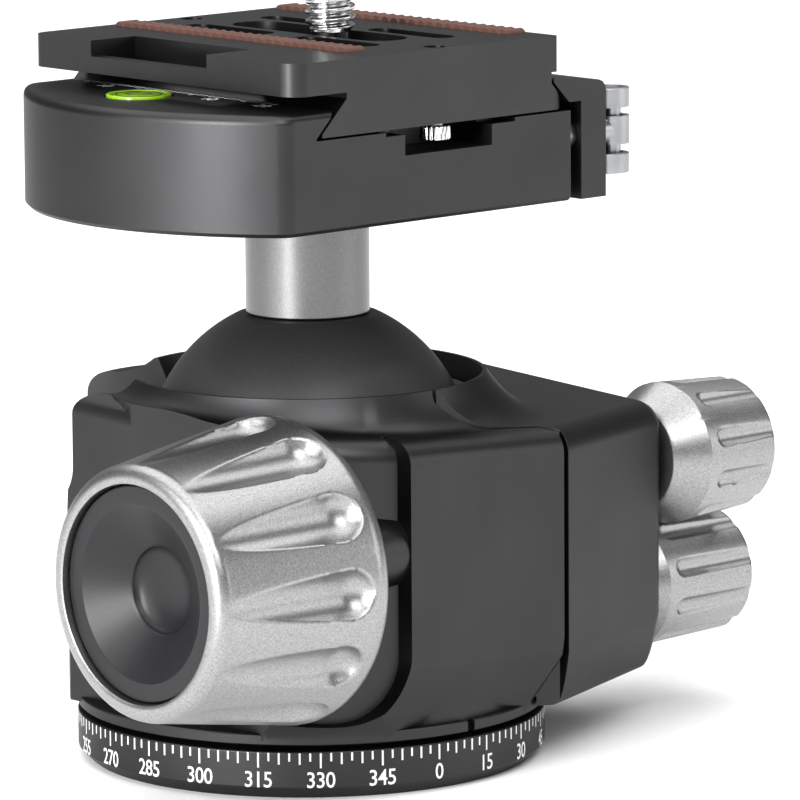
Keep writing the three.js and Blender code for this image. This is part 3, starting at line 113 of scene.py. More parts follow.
def make_camera():
    turn = math.radians(CAMERA_TURN)
    place = Vector((math.sin(turn), -math.cos(turn), 0)) * CAMERA_DISTANCE
    place.z = CAMERA_HEIGHT
    heading = math.radians(CAMERA_TURN + CAMERA_YAW)
    pitch = math.radians(CAMERA_PITCH)
    forward = Vector((
        -math.sin(heading) * math.cos(pitch),
        math.cos(heading) * math.cos(pitch),
        -math.sin(pitch),
    ))
    right = Vector((math.cos(heading), math.sin(heading), 0))
    up = right.cross(forward)
    roll = math.radians(CAMERA_ROLL)
    right, up = (
        right * math.cos(roll) + up * math.sin(roll),
        up * math.cos(roll) - right * math.sin(roll),
    )
    lens = bpy.data.cameras.new("photo_camera")
    lens.lens = CAMERA_LENS
    lens.sensor_width = 36
    lens.clip_end = 20
    camera = bpy.data.objects.new("photo_camera", lens)
    camera.matrix_world = Matrix((
        (right.x, up.x, -forward.x, place.x * MM),
        (right.y, up.y, -forward.y, place.y * MM),
        (right.z, up.z, -forward.z, place.z * MM),
        (0, 0, 0, 1),
    ))
    bpy.context.scene.collection.objects.link(camera)
    bpy.context.scene.camera = camera


make_camera()
print("camera", [round(c, 3) for c in bpy.context.scene.camera.location])

# %% [markdown]
# Materials come first, because each piece is given its finish as it is made. Colours are
# written as the hex values that a paint program shows, and one function turns them into the
# linear light that the renderer adds up. A second function adds a node with its settings and
# links, so that a material reads as a list of what happens to the surface. A third one starts
# a material with the settings of its shader.

# %% Helpers for materials


def linear(hex_colour):
    parts = [int(hex_colour[i:i + 2], 16) / 255 for i in (1, 3, 5)]
    return [p / 12.92 if p <= 0.04045 else ((p + 0.055) / 1.055) ** 2.4 for p in parts] + [1]


def add_node(tree, kind, settings=None, **sockets):
    """Adds a node. A socket's value is a number, a colour, or another node's output."""
    node = tree.nodes.new(kind)
    for name, value in (settings or {}).items():
        setattr(node, name, value)
    for name, value in sockets.items():
        socket = node.inputs[int(name[1:]) if name[0] == "_" else name.replace("_", " ")]
        if isinstance(value, bpy.types.NodeSocket):
            tree.links.new(value, socket)
        else:
            socket.default_value = value
    return node


def new_material(name, **shader_sockets):
    """A material with its shader set, its tree and the piece's own coordinates."""
    material = bpy.data.materials.new(name)
    material.use_nodes = True
    tree = material.node_tree
    for socket, value in shader_sockets.items():
        tree.nodes["Principled BSDF"].inputs[socket.replace("_", " ")].default_value = value
    return material, tree, tree.nodes.new("ShaderNodeTexCoord").outputs["Object"]


print("material helpers ready")

# %% [markdown]
# Most surfaces here are made the same way: a fine grain dents the surface and breaks its gloss,
# and a wider, cloudy pattern shifts its tone a little. So one function links two tones, a gloss
# and the dents to the shader. The surfaces that need nothing more are made by the two short
# functions after it. The first leaves the gloss even, and the second breaks it.

# %% Finishes with a grain


def finish(material, tones, tone_by, dents, depth, gloss_by=None, roughness=0.5, spread=0.05):
    """Links two tones, a gloss that wavers by the spread, and dents with a depth in mm."""
    tree = material.node_tree
    shader = tree.nodes["Principled BSDF"]
    tone = add_node(
        tree, "ShaderNodeMix", {"data_type": "RGBA"}, _0=tone_by,
        _6=linear(tones[0]), _7=linear(tones[1]))
    tree.links.new(tone.outputs[2], shader.inputs["Base Color"])
    if gloss_by is not None:
        gloss = add_node(
            tree, "ShaderNodeMapRange", Value=gloss_by,
            To_Min=roughness - spread, To_Max=roughness + spread)
        tree.links.new(gloss.outputs["Result"], shader.inputs["Roughness"])
    bump = add_node(tree, "ShaderNodeBump", Distance=depth * MM, Height=dents)
    tree.links.new(bump.outputs["Normal"], shader.inputs["Normal"])
    return material


def toned(name, tones, grain_mm, depth, **shader_sockets):
    """Two tones in a grain that also dents the surface. The gloss is even."""
    material, tree, coords = new_material(name, **shader_sockets)
    grain = add_node(
        tree, "ShaderNodeTexNoise", Vector=coords, Scale=1 / (grain_mm * MM), Detail=2.0)
    return finish(material, tones, grain.outputs["Fac"], grain.outputs["Fac"], depth)


def grained(name, tones, roughness, grain_mm, depth, spread=0.05, patch=None, **shader_sockets):
    """A grain breaks the gloss and dents the surface. A patch is its size in mm and its detail."""
    material, tree, coords = new_material(name, Roughness=roughness, **shader_sockets)
    grain = add_node(
        tree, "ShaderNodeTexNoise", Vector=coords, Scale=1 / (grain_mm * MM), Detail=2.0)
    cloud = grain
    if patch:
        cloud = add_node(
            tree, "ShaderNodeTexNoise", Vector=coords, Scale=1 / (patch[0] * MM), Detail=patch[1])
    dents = grain.outputs["Fac"]
    return finish(material, tones, cloud.outputs["Fac"], dents, depth, dents, roughness, spread)


print("finish helpers ready")

# %% [markdown]
# ## Black anodised aluminium
# The housing, the foot, the clamp and the plate are milled from aluminium, blasted with fine
# beads and then anodised and dyed black. Blasting leaves tiny pits about 0.1 mm across, and
# the dye makes the oxide dark, so the eye gets a soft grey sheen with a sandy grain and no
# mirror. The pits also swallow light that skims the surface, so the edges stay dark: the grey
# specular tint does that. A pit would be finer than a pixel, so the grain is drawn at 0.25 mm.

# %% Black anodised aluminium
anodised = {
    "grain_mm": 0.25, "spread": 0.06, "patch": (9, 3.0), "Metallic": 1.0,
    "Specular_Tint": linear("#dadada"),
}
black_anodised = grained(
    "bead_blasted_black_anodised_aluminium", ("#3a3a3b", "#424243"), 0.4, depth=0.006, **anodised)
plate_anodised = grained(
    "fine_black_anodised_aluminium", ("#3c3c3d", "#444445"), 0.36, depth=0.004, **anodised)
print("materials:", black_anodised.name, plate_anodised.name)

# %% [markdown]
# ## Hard anodised ball
# The ball is turned to a true sphere, polished and hard anodised, and then rubbed with a dry
# slip coating. Hard anodising is thicker and a little greyer than dyed black and its pores
# scatter light, so the ball looks like dark satin with a wide, softly speckled highlight. The
# scattered part is not a mirror's, so this metal is only partly metallic.

# %% Hard anodised ball
ball_finish = grained(
    "hard_anodised_aluminium_ball", ("#343435", "#434344"), 0.46, 0.3, 0.005, 0.06, Metallic=0.6)
print("material:", ball_finish.name)

# %% [markdown]
# ## Bead-blasted silver aluminium
# The knobs and the stem are turned, fluted, blasted with beads and anodised clear. The metal
# stays silver, but every bead leaves a dent that scatters light, so highlights are broad and
# broken into bright specks. The grain here is 0.22 mm, about twice the real dents.

# %% Bead-blasted silver aluminium
SPECK_MM = 0.22


def blasted_silver(name, tones, roughness, depth):
    """Specks that are sharper in tone than in gloss, as dents catch the light."""
    material, tree, coords = new_material(name, Metallic=1.0, Roughness=roughness)
    speck = add_node(
        tree, "ShaderNodeTexNoise", Vector=coords, Scale=1 / (SPECK_MM * MM), Detail=3.0,
        Roughness=0.65).outputs["Fac"]
    sharpened = add_node(tree, "ShaderNodeMapRange", Value=speck, From_Min=0.3, From_Max=0.7)
    return finish(
        material, tones, sharpened.outputs["Result"], speck, depth, speck, roughness, 0.08)


knob_silver = blasted_silver(
    "bead_blasted_clear_anodised_aluminium", ("#868686", "#aeaeae"), 0.34, 0.012)
stem_silver = blasted_silver("satin_clear_anodised_aluminium", ("#6a6a6a", "#7c7c7c"), 0.32, 0.005)
print("materials:", knob_silver.name, stem_silver.name)

# %% [markdown]
# ## Steel and brass
# Screws, pins and the draw rod are turned from stainless steel, the lever is milled from it,
# and the camera screw is nickel plated and polished. A cutter leaves fine rings along its axis.
# Plating fills the finest marks, so it is smoother and reflects the softboxes as clear bright
# bands. Other screws are blackened, and the shoes of the small knobs are brass.

# %% Steel and brass
RING_DEPTH = 0.002


def turned_metal(name, tones, roughness, spread=0.06, pitch=0.25):
    """Fine rings along Z, as a lathe tool leaves them, with a little noise in their spacing."""
    material, tree, coords = new_material(name, Metallic=1.0, Roughness=roughness)
    rings = add_node(
        tree, "ShaderNodeTexWave", {"bands_direction": "Z"}, Vector=coords,
        Scale=1 / (20 * pitch * MM), Distortion=1.5, Detail=2.0)
    smudge = add_node(
        tree, "ShaderNodeTexNoise", Vector=coords, Scale=1 / (4 * MM), Detail=3.0).outputs["Fac"]
    return finish(
        material, tones, smudge, rings.outputs["Fac"], RING_DEPTH, smudge, roughness, spread)


turned_steel = turned_metal("turned_stainless_steel", ("#8f9092", "#b3b4b6"), 0.32)
plated_steel = turned_metal("nickel_plated_steel", ("#c8c8c9", "#dfdfe0"), 0.16, 0.04, 0.2)
black_steel = turned_metal("black_oxide_steel_screw", ("#2a2a2c", "#3a3a3d"), 0.38)
machined_brass = turned_metal("machined_brass", ("#a98b4e", "#c4a766"), 0.3)
print("materials:", turned_steel.name, plated_steel.name, black_steel.name, machined_brass.name)

# %% [markdown]
# ## Plastics, rubber and the level
# The knob's cap is moulded from a stiff black plastic with a fine spark-eroded grain, and the
# washers and seats are slippery pale or dark acetal. The plate's strips are soft brown rubber,
# which is dull and slightly uneven. The level is a small cup of green spirit under an acrylic
# lens: the coat on the green stands for the lens, since its gloss is all that shows of it.

# %% Plastics, rubber and the level
moulded = {"patch": (7, 2.0), "IOR": 1.5}
dull = {**moulded, "Specular_IOR_Level": 0.3}
cap_plastic = grained("moulded_black_abs", ("#161618", "#1c1c1e"), 0.36, 0.3, 0.006, **dull)
pale_acetal = grained(
    "machined_natural_acetal", ("#c9c6bb", "#d8d5ca"), 0.4, 0.4, 0.004, **moulded)
dark_acetal = grained(
    "machined_black_acetal", ("#1c1c1e", "#232325"), 0.38, 0.4, 0.004, **moulded)
brown_rubber = grained("moulded_brown_rubber", ("#4b3029", "#5a3a30"), 0.62, 0.25, 0.015, **dull)
white_fill = grained("white_enamel_fill", ("#dcdcdc", "#e9e9e9"), 0.5, 0.2, 0.002, **moulded)
level_spirit = toned(
    "green_spirit_under_acrylic", ("#6f9a00", "#93bd14"), 3, 0.01, Roughness=0.3, IOR=1.36,
    Coat_Weight=0.6, Coat_Roughness=0.05)
print("materials:", cap_plastic.name, brown_rubber.name, white_fill.name, level_spirit.name)

# %% [markdown]
# ## Mesh helpers
# Most pieces are turned on a lathe or milled from a block. Every mesh starts as a list of
# points in millimetres and a list of faces. A place is a matrix, so that one profile can stand
# upright or lie along X. Faces have to look outward, or cuts and shading go wrong.

# %% Points and places


def put_mesh(name, points, faces):
    mesh = bpy.data.meshes.new(name)
    mesh.from_pydata([tuple(c * MM for c in point) for point in points], [], faces)
    mesh.update()
    piece = bpy.data.objects.new(name, mesh)
    bpy.context.scene.collection.objects.link(piece)
    return piece


def along_x(x, y, z, hand=1):
    """A place whose own +Z runs along +X, or along -X with hand -1."""
    return Matrix.Translation((x, y, z)) @ Matrix.Rotation(hand * math.pi / 2, 4, "Y")


def upright(x=0, y=0, z=0):
    return Matrix.Translation((x, y, z))


def outward(piece):
    """Turns every face outward, which cuts and shading both need."""
    shape = bmesh.new()
    shape.from_mesh(piece.data)
    bmesh.ops.recalc_face_normals(shape, faces=shape.faces)
    shape.to_mesh(piece.data)
    shape.free()
    return piece


print("mesh helpers ready")

# %% [markdown]
# A turned piece is a profile swept about an axis, as a lathe does it. Its points form a grid,
# and each cell of the grid is one face. Corners in a profile are rounded by short arcs.

# %% Turning a profile


def grid_faces(rows, steps, closed_rows=False):
    faces = []
    for i in range(rows if closed_rows else rows - 1):
        here, there = i * steps, ((i + 1) % rows) * steps
        for j in range(steps):
            k = (j + 1) % steps
            faces.append((here + j, here + k, there + k, there + j))
    return faces


def turned(name, profile, place=None, steps=96, closed=False):
    """Sweeps (radius, height) points about Z. An open profile starts and ends on the axis."""
    place = place or upright()
    rings = profile if closed else profile[1:-1]
    turns = [2 * math.pi * j / steps for j in range(steps)]
    points = [place @ Vector((radius * math.cos(turn), radius * math.sin(turn), height))
              for radius, height in rings for turn in turns]
    faces = grid_faces(len(rings), steps, closed)
    if not closed:
        last = (len(rings) - 1) * steps
        low, high = len(points), len(points) + 1
        points += [place @ Vector((0, 0, profile[0][1])), place @ Vector((0, 0, profile[-1][1]))]
        for j in range(steps):
            k = (j + 1) % steps
            faces += [(low, k, j), (high, last + j, last + k)]
    return outward(put_mesh(name, points, faces))


def arc(centre_radius, centre_height, radius, start, end, steps=8):
    """Profile points on an arc. Angles in degrees, 0 is outward and 90 is up."""
    points = []
    for i in range(steps + 1):
        turn = math.radians(start + (end - start) * i / steps)
        points.append((
            centre_radius + radius * math.cos(turn), centre_height + radius * math.sin(turn)))
    return points


print("turning helpers ready")

# %% [markdown]
# A milled piece is a block that other solids cut. The boolean tool does that with closed
# meshes, and the triangles that a cut leaves in one plane are joined again afterwards. Edges
# that a machinist would break get a small bevel, because a real edge always catches light.

# %% Cutting and breaking edges
SAME_POINT = 0.002
FLAT_ANGLE = 0.2


def combine(piece, other, how="DIFFERENCE"):
    """Cuts, joins or intersects a piece with another one, which is used up."""
    step = piece.modifiers.new(how.lower(), "BOOLEAN")
    step.operation, step.solver, step.object = how, "MANIFOLD", other
    graph = bpy.context.evaluated_depsgraph_get()
    done = bpy.data.meshes.new_from_object(piece.evaluated_get(graph), depsgraph=graph)
    piece.modifiers.clear()
    piece.data = done
    bpy.data.objects.remove(other)
    return piece


def tidy_faces(piece):
    """Joins the triangles that a cut leaves in one plane."""
    shape = bmesh.new()
    shape.from_mesh(piece.data)
    bmesh.ops.remove_doubles(shape, verts=shape.verts, dist=SAME_POINT * MM)
    bmesh.ops.dissolve_limit(
        shape, angle_limit=math.radians(FLAT_ANGLE), verts=shape.verts, edges=shape.edges)
    shape.to_mesh(piece.data)
    shape.free()
    return piece


def soften(piece, width, angle=42):
    """Breaks each edge sharper than the angle, as a deburring wheel does, before the shading."""
    bevel = piece.modifiers.new("broken_edges", "BEVEL")
    bevel.width = width * MM
    bevel.segments = 2
    bevel.limit_method = "ANGLE"
    bevel.angle_limit = math.radians(angle)
    bevel.use_clamp_overlap = True
    bevel.harden_normals = False
    piece.modifiers.move(len(piece.modifiers) - 1, 0)


print("cutting helpers ready")

# %% [markdown]
# Each finished piece gets smooth shading that stops at sharp edges, its material, the body that
# it moves with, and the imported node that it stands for.

# %% Dressing a piece


def shade(piece, angle):
    for face in piece.data.polygons:
        face.use_smooth = True
    piece.data.set_sharp_from_angle(angle=math.radians(angle))
    piece.modifiers.new("even_shading", "WEIGHTED_NORMAL").keep_sharp = True


def dress(piece, material, node, stands_for=True, angle=38):
    """Gives a piece its finish, its body and the node that it stands for."""
    outward(piece)
    piece.data.materials.clear()
    piece.data.materials.append(material)
    shade(piece, angle)
    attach(piece, BODY_OF[node])
    if stands_for:
        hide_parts(node)
    return piece


print("dressing helpers ready")

# %% [markdown]
# ## The foot and its dial
# The foot is turned from bar, with a wide chamfer at the bottom and a bore for the tripod's
# screw. Its turned surface stays 0.03 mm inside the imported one, so that the marks of the dial
# can stand on it without growing past the frame. Three screws hold the pan's spindle from
# below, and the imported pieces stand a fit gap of 0.3 mm apart, which the finer ones keep.

# %% Foot
FIT_GAP = 0.3
MARK_RISE = 0.015
foot_high = box_mm("base_ring")[1]
FOOT_RADIUS = foot_high.x - 2 * MARK_RISE
FOOT_TOP = foot_high.z
FOOT_LOW_CHAMFER = 1.4
FOOT_BORE = 8.0
BORE_CHAMFER = 0.4
FOOT_ROUND, FOOT_SHOULDER = 0.3, 0.4
FOOT_FLOOR = box_mm("pan_washer")[0].z - FIT_GAP
FOOT_RECESS = box_mm("pan_washer")[1].x + FIT_GAP
SCREW_HEAD_ROOM = 2.3
SCREW_HEAD_HEIGHT = 1.8
SCREW_ROOM = 1.5

foot = turned("foot", [
    (FOOT_BORE + BORE_CHAMFER, 0),
    *arc(FOOT_RADIUS - FOOT_LOW_CHAMFER - FOOT_ROUND, FOOT_ROUND, FOOT_ROUND, -90, -45, 4),
    *arc(FOOT_RADIUS - FOOT_SHOULDER, FOOT_LOW_CHAMFER + FOOT_ROUND, FOOT_SHOULDER, -45, 0, 4),
    *arc(FOOT_RADIUS - FOOT_ROUND, FOOT_TOP - FOOT_ROUND, FOOT_ROUND, 0, 90, 5),
    (FOOT_RECESS, FOOT_TOP),
    (FOOT_RECESS, FOOT_FLOOR),
    (FOOT_BORE, FOOT_FLOOR),
    (FOOT_BORE, BORE_CHAMFER),
], steps=256, closed=True)
for letter in "abc":
    screw = middle(f"spindle_screw_{letter}")
    head_top = box_mm(f"spindle_screw_{letter}")[0].z + SCREW_HEAD_HEIGHT
    room = turned("screw_room", [
        (0, -1), (SCREW_HEAD_ROOM, -1), (SCREW_HEAD_ROOM, head_top), (SCREW_ROOM, head_top),
        (SCREW_ROOM, FOOT_TOP), (0, FOOT_TOP),
    ], upright(screw.x, screw.y), steps=40)
    combine(foot, room)
dress(foot, black_anodised, "base_ring")
print("foot radius", round(FOOT_RADIUS, 2), "faces", len(foot.data.polygons))

# %% [markdown]
# The dial is engraved around the foot and filled with white enamel: a tick every 2.5 degrees,
# longer at 5 and longest at 15. The ticks are thin plates, curved with the ring, because real
# engraving this fine would need far more mesh than it shows.

# %% Dial ticks
MARK_SINK = 0.03
DIAL_ZERO_TURN = -99.9
TICK_STEP = 2.5
TICK_WIDTH = 0.24
TICK_TOP = FOOT_TOP - 0.2
TICK_LONG, TICK_MID, TICK_SHORT = 1.9, 1.45, 1.05


def on_ring(turn, across, height, rise):
    """A point on the foot's round side, so many millimetres beside a turn in degrees."""
    angle = math.radians(turn) + across / FOOT_RADIUS
    reach = FOOT_RADIUS + rise
    return (reach * math.cos(angle), reach * math.sin(angle), height)


BOX_FACES = (
    (0, 3, 2, 1), (4, 5, 6, 7), (0, 1, 5, 4), (1, 2, 6, 5), (2, 3, 7, 6), (3, 0, 4, 7))


def joined(name, marks):
    """One piece from many marks, each given by its points and its faces."""
    points, faces = [], []
    for mark_points, mark_faces in marks:
        faces += [tuple(len(points) + k for k in face) for face in mark_faces]
        points += mark_points
    return put_mesh(name, points, faces)


def dial_tick(value):
    """A thin plate, curved with the ring."""
    length = TICK_LONG if value % 15 == 0 else TICK_MID if value % 5 == 0 else TICK_SHORT
    half, low = TICK_WIDTH / 2, TICK_TOP - length
    return [
        on_ring(DIAL_ZERO_TURN + value, across, height, rise)
        for rise in (-MARK_SINK, MARK_RISE)
        for across, height in ((-half, low), (half, low), (half, TICK_TOP), (-half, TICK_TOP))
    ], BOX_FACES


ticks = joined("dial_ticks", [dial_tick(i * TICK_STEP) for i in range(round(360 / TICK_STEP))])
dress(ticks, white_fill, "base_ring", stands_for=False)
print("dial ticks", len(ticks.data.polygons) // len(BOX_FACES))

# %% [markdown]
# A number stands below each long tick. It is text, turned into a flat mesh, and each of its
# points is wrapped around the ring. The numbers are drawn a little narrower than the font.

# %% Dial numbers
NUMBER_HEIGHT = 2.0
NUMBER_BASE = 1.62
NUMBER_WEIGHT = 0.02
NUMBER_NARROWING = 0.9
LETTER_SPACING = 0.95
CURVE_POINTS = 3
FONT_CAP_SHARE = 0.7


def flat_text(body, height):
    """The points and faces of a thin flat text, centred on x, standing on y = 0."""
    words = bpy.data.curves.new("number", "FONT")
    words.body = body
    words.size = height / FONT_CAP_SHARE
    words.align_x = "CENTER"
    words.offset = NUMBER_WEIGHT
    words.resolution_u = CURVE_POINTS
    words.space_character = LETTER_SPACING
    holder = bpy.data.objects.new("number", words)
    bpy.context.scene.collection.objects.link(holder)
    bpy.context.view_layer.update()
    mesh = bpy.data.meshes.new_from_object(holder)
    points = [tuple(v.co) for v in mesh.vertices]
    faces = [tuple(f.vertices) for f in mesh.polygons]
    bpy.data.objects.remove(holder)
    bpy.data.meshes.remove(mesh)
    return points, faces


def dial_number(value):
    flat, faces = flat_text(str(value), NUMBER_HEIGHT)
    return [
        on_ring(DIAL_ZERO_TURN + value, x * NUMBER_NARROWING, NUMBER_BASE + y, MARK_RISE)
        for x, y, _ in flat
    ], faces


def fill_white(marks, node):
    """Finishes flat marks, which ride with a node's body."""
    marks.data.materials.append(white_fill)
    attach(marks, BODY_OF[node])
    print(marks.name, "faces", len(marks.data.polygons))


fill_white(joined("dial_numbers", [dial_number(value) for value in range(0, 360, 15)]), "base_ring")

# %% [markdown]
# ## The housing
# The housing is one milled casting of two halves: a round barrel around the ball, a flat pad
# that the big knob presses on, and a long block for the two small knobs. A slit between them
# closes when the knob is turned. A milled body is a stack of outlines: each outline is given
# by the sides it has, so that one inset moves them all and makes an even fillet at the top.

# %% Outlines and lofts


def facing(angle, reach, follow=1.0):
    """A side: where it faces, how far out it lies and how much it follows an inset."""
    turn = math.radians(angle)
    return (math.cos(turn), math.sin(turn), reach, follow)


def round_facings(x, y, radius, start, end, count):
    """Sides around a corner."""
    sides = []
    for i in range(count + 1):
        c, s, _, _ = facing(start + (end - start) * i / count, 0)
        sides.append((c, s, x * c + y * s + radius, 1.0))
    return sides


def outline(facings, inset=0.0):
    points = []
    for i, (ax, ay, reach, follow) in enumerate(facings):
        bx, by, next_reach, next_follow = facings[(i + 1) % len(facings)]
        here, there = reach - inset * follow, next_reach - inset * next_follow
        turn = ax * by - ay * bx
        points.append(((here * by - there * ay) / turn, (there * ax - here * bx) / turn))
    return points


def loft(name, levels):
    count = len(levels[0])
    last = (len(levels) - 1) * count
    faces = grid_faces(len(levels), count)
    faces += [tuple(reversed(range(count))), tuple(range(last, last + count))]
    return outward(put_mesh(name, [point for level in levels for point in level], faces))


def prism(name, points, bottom, top):
    return loft(name, [[(x, y, z) for x, y in points] for z in (bottom, top)])


def block(name, low, high):
    corners = [(low[0], low[1]), (high[0], low[1]), (high[0], high[1]), (low[0], high[1])]
    return prism(name, corners, low[2], high[2])


def disc(name, radius, bottom, top, place=None, steps=96):
    profile = [(0, bottom), (radius, bottom), (radius, top), (0, top)]
    return turned(name, profile, place, steps)


def bore_x(radius, start, end, y, z, steps=40):
    return disc("bore", radius, 0, end - start, along_x(start, y, z), steps)


print("outline helpers ready")

# %% [markdown]
# The sizes follow from the ball, because the barrel's wall and the seats stand around it, and
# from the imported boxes. The top isn't flat: it falls a little to the right and rises to the
# back, and a fillet runs along its edge.

# %% The housing's sizes, as milled
SEAT_POCKET = BALL_RADIUS + 2.1
BARREL_RADIUS = SEAT_POCKET + 5.9
BACK_RADIUS = SEAT_POCKET + 8.1
LEFT_FACE = -(SEAT_POCKET + 1.3)
FLAT_TILT = 3.4
FRONT_FACE = -box_mm("housing_side")[0].y
BLOCK_END = box_mm("housing_side")[1].x
PAD_START = -9.75
BLOCK_SHOULDER = 17.5
BLOCK_END_HALF = 19.5
BLOCK_CORNER = 5.0
BLOCK_INNER = 2.0
TOP_FILLET = 3.0
FILLET_STEPS = 10
FLANGE_BOTTOM = box_mm("housing_main")[0].z
BODY_BOTTOM = FLANGE_BOTTOM + 0.7
FLANGE_TOP = FLANGE_BOTTOM + 1.4
FLANGE_RADIUS = box_mm("housing_main")[1].x
FLOOR_TOP = FLANGE_BOTTOM + 2.3
FLOOR_RADIUS = 22.0
RIM_TOP = box_mm("housing_main")[1].z
RIM_RADIUS = 22.7
RIM_LAND = 0.5
TOP_HEIGHT = 7.6
TOP_SLOPE_X = -0.055
TOP_SLOPE_Y = 0.05
KNOB_RADIUS = (box_mm("main_knob")[1].z - box_mm("main_knob")[0].z) / 2
KNOB_BACK, KNOB_EDGE_Y = box_mm("main_knob")[1].x, box_mm("main_knob")[1].y
BOLT_Y, BOLT_Z = middle("main_bolt").y, middle("main_bolt").z


def top_at(x, y):
    return BALL_Z + TOP_HEIGHT + TOP_SLOPE_X * x + TOP_SLOPE_Y * y


def housing_body(name, facings, low_levels):
    """A lofted body from low (inset, height) levels up to the fillet under the sloped top."""
    levels = [[(x, y, height) for x, y in outline(facings, inset)]
              for inset, height in low_levels]
    for i in range(FILLET_STEPS + 1):
        turn = math.pi / 2 * i / FILLET_STEPS
        inset = TOP_FILLET * (1 - math.cos(turn))
        drop = TOP_FILLET * (1 - math.sin(turn))
        levels.append([(x, y, top_at(x, y) - drop) for x, y in outline(facings, inset)])
    return loft(name, levels)


print("housing helpers ready, barrel radius", round(BARREL_RADIUS, 2))

# %% [markdown]
# Three bodies make the housing. The barrel's left side is milled flat beside the knob. The pad
# takes the knob's push, and both the pad and the block are undercut toward the flange, so each
# starts with a curve of insets that ends where the side is upright.

# %% Barrel, pad and block
BOWL_FLARE = 5
BOWL_TOP = FLANGE_BOTTOM + 9.6
KNOB_ROOM_CORNER = 8.0
KNOB_CLEARANCE = 2.1


def undercut(points, steps=7):
    """(inset, height) levels on the smooth curve through three given ones."""
    insets, heights = zip(*points)
    curve = np.polyfit(insets, heights, 2)
    return [(inset, float(np.polyval(curve, inset))) for inset in np.linspace(insets[0], 0, steps)]


def left_flat():
    """The flat leans away from the knob about the line where the knob's edge passes it."""
    c, s, _, _ = facing(180 + FLAT_TILT, 0)
    return facing(180 + FLAT_TILT, LEFT_FACE * c + KNOB_EDGE_Y * s)


def make_barrel():
    return housing_body("barrel", [
        left_flat(),
        *round_facings(0, 0, BARREL_RADIUS, 216, 287, 42),
        facing(0, BLOCK_SHOULDER / 2, 0),
        *round_facings(0, 0, BACK_RADIUS, 74, 145, 40),
    ], [(0, BODY_BOTTOM)])


def make_bowl():
    """The pad runs down into this bowl, which is as wide as the flange at its foot."""
    foot = FLANGE_RADIUS + 0.1
    return turned("bowl", [
        (0, FLANGE_BOTTOM), (foot, FLANGE_BOTTOM), (foot, FLANGE_TOP),
        (foot + BOWL_FLARE, BOWL_TOP), (foot + BOWL_FLARE, RIM_TOP), (0, RIM_TOP),
    ], steps=192)


def make_knob_room():
    """The room beside the knob, with a rounded corner where it ends at the pad."""
    radius, corner = KNOB_RADIUS + KNOB_CLEARANCE, KNOB_ROOM_CORNER
    start = LEFT_FACE - 1
    return turned("knob_room", [
        (0, 0), (radius, 0),
        *arc(radius - corner, PAD_START - start - corner, corner, 0, 90, 16),
        (0, PAD_START - start),
    ], along_x(start, BOLT_Y, BOLT_Z), steps=160)


def make_pad():
    body = housing_body("pad", [
        facing(180, -LEFT_FACE, 0),
        facing(270, FRONT_FACE),
        facing(0, BLOCK_SHOULDER, 0),
        facing(90, 0, 0),
    ], undercut([(2.0, BODY_BOTTOM), (1.1, FLANGE_BOTTOM + 3.7), (0, BOWL_TOP)]))
    combine(body, make_bowl(), "INTERSECT")
    return combine(body, make_knob_room())


def make_block():
    run, fall = BLOCK_END - BLOCK_SHOULDER, FRONT_FACE - BLOCK_END_HALF
    tilt = math.degrees(math.atan2(fall, run))
    c, s, _, _ = facing(-90 + tilt, 0)
    reach = BLOCK_SHOULDER * c - FRONT_FACE * s
    corner_x = BLOCK_END - BLOCK_CORNER
    corner_y = (reach - BLOCK_CORNER - corner_x * c) / s
    return housing_body("block", [
        facing(-180, -BLOCK_INNER, 0),
        facing(-90, FRONT_FACE),
        *round_facings(corner_x, corner_y, BLOCK_CORNER, -90 + tilt, 0, 14),
        *round_facings(corner_x, -corner_y, BLOCK_CORNER, 0, 90 - tilt, 14)[1:],
        facing(90, FRONT_FACE),
    ], undercut([(2.2, FLANGE_BOTTOM + 0.5), (0.9, FLANGE_BOTTOM + 3.1), (0, FLANGE_BOTTOM + 7.6)]))


print("left face", round(LEFT_FACE, 2), "front face", round(FRONT_FACE, 2))

# %% [markdown]
# A collar rises around the ball and flares out into the top like a bell. The flare may only run
# as far as the body's own fillet, so its width is worked out for every turn and then evened
# out, so that it changes gently.

# %% Collar that flares into the top
FLARE_WIDEST = 8.3
FLARE_LEAST = 2.6
FLARE_POWER = 2.2
FLARE_SINK = 0.03
FLARE_ROWS = 10
COLLAR_STEPS = 180
COLLAR_BOTTOM = BALL_Z + 4.0
COLLAR_INNER = 2.0
COLLAR_BLUR = 7


def flare_width(degrees):
    """How far the flare may run before the body's own fillet starts."""
    turn = math.radians(degrees)
    c, s = math.cos(turn), math.sin(turn)
    front = (FRONT_FACE - TOP_FILLET) / max(-s, 0.01)
    if degrees < -112 or degrees > 145:
        room = BARREL_RADIUS - TOP_FILLET
    elif degrees > 88:
        room = BACK_RADIUS - TOP_FILLET
    else:
        room = min(front, (FRONT_FACE - TOP_FILLET) / max(s, 0.01))
    return min(max(room - RIM_RADIUS - 0.3, FLARE_LEAST), FLARE_WIDEST)


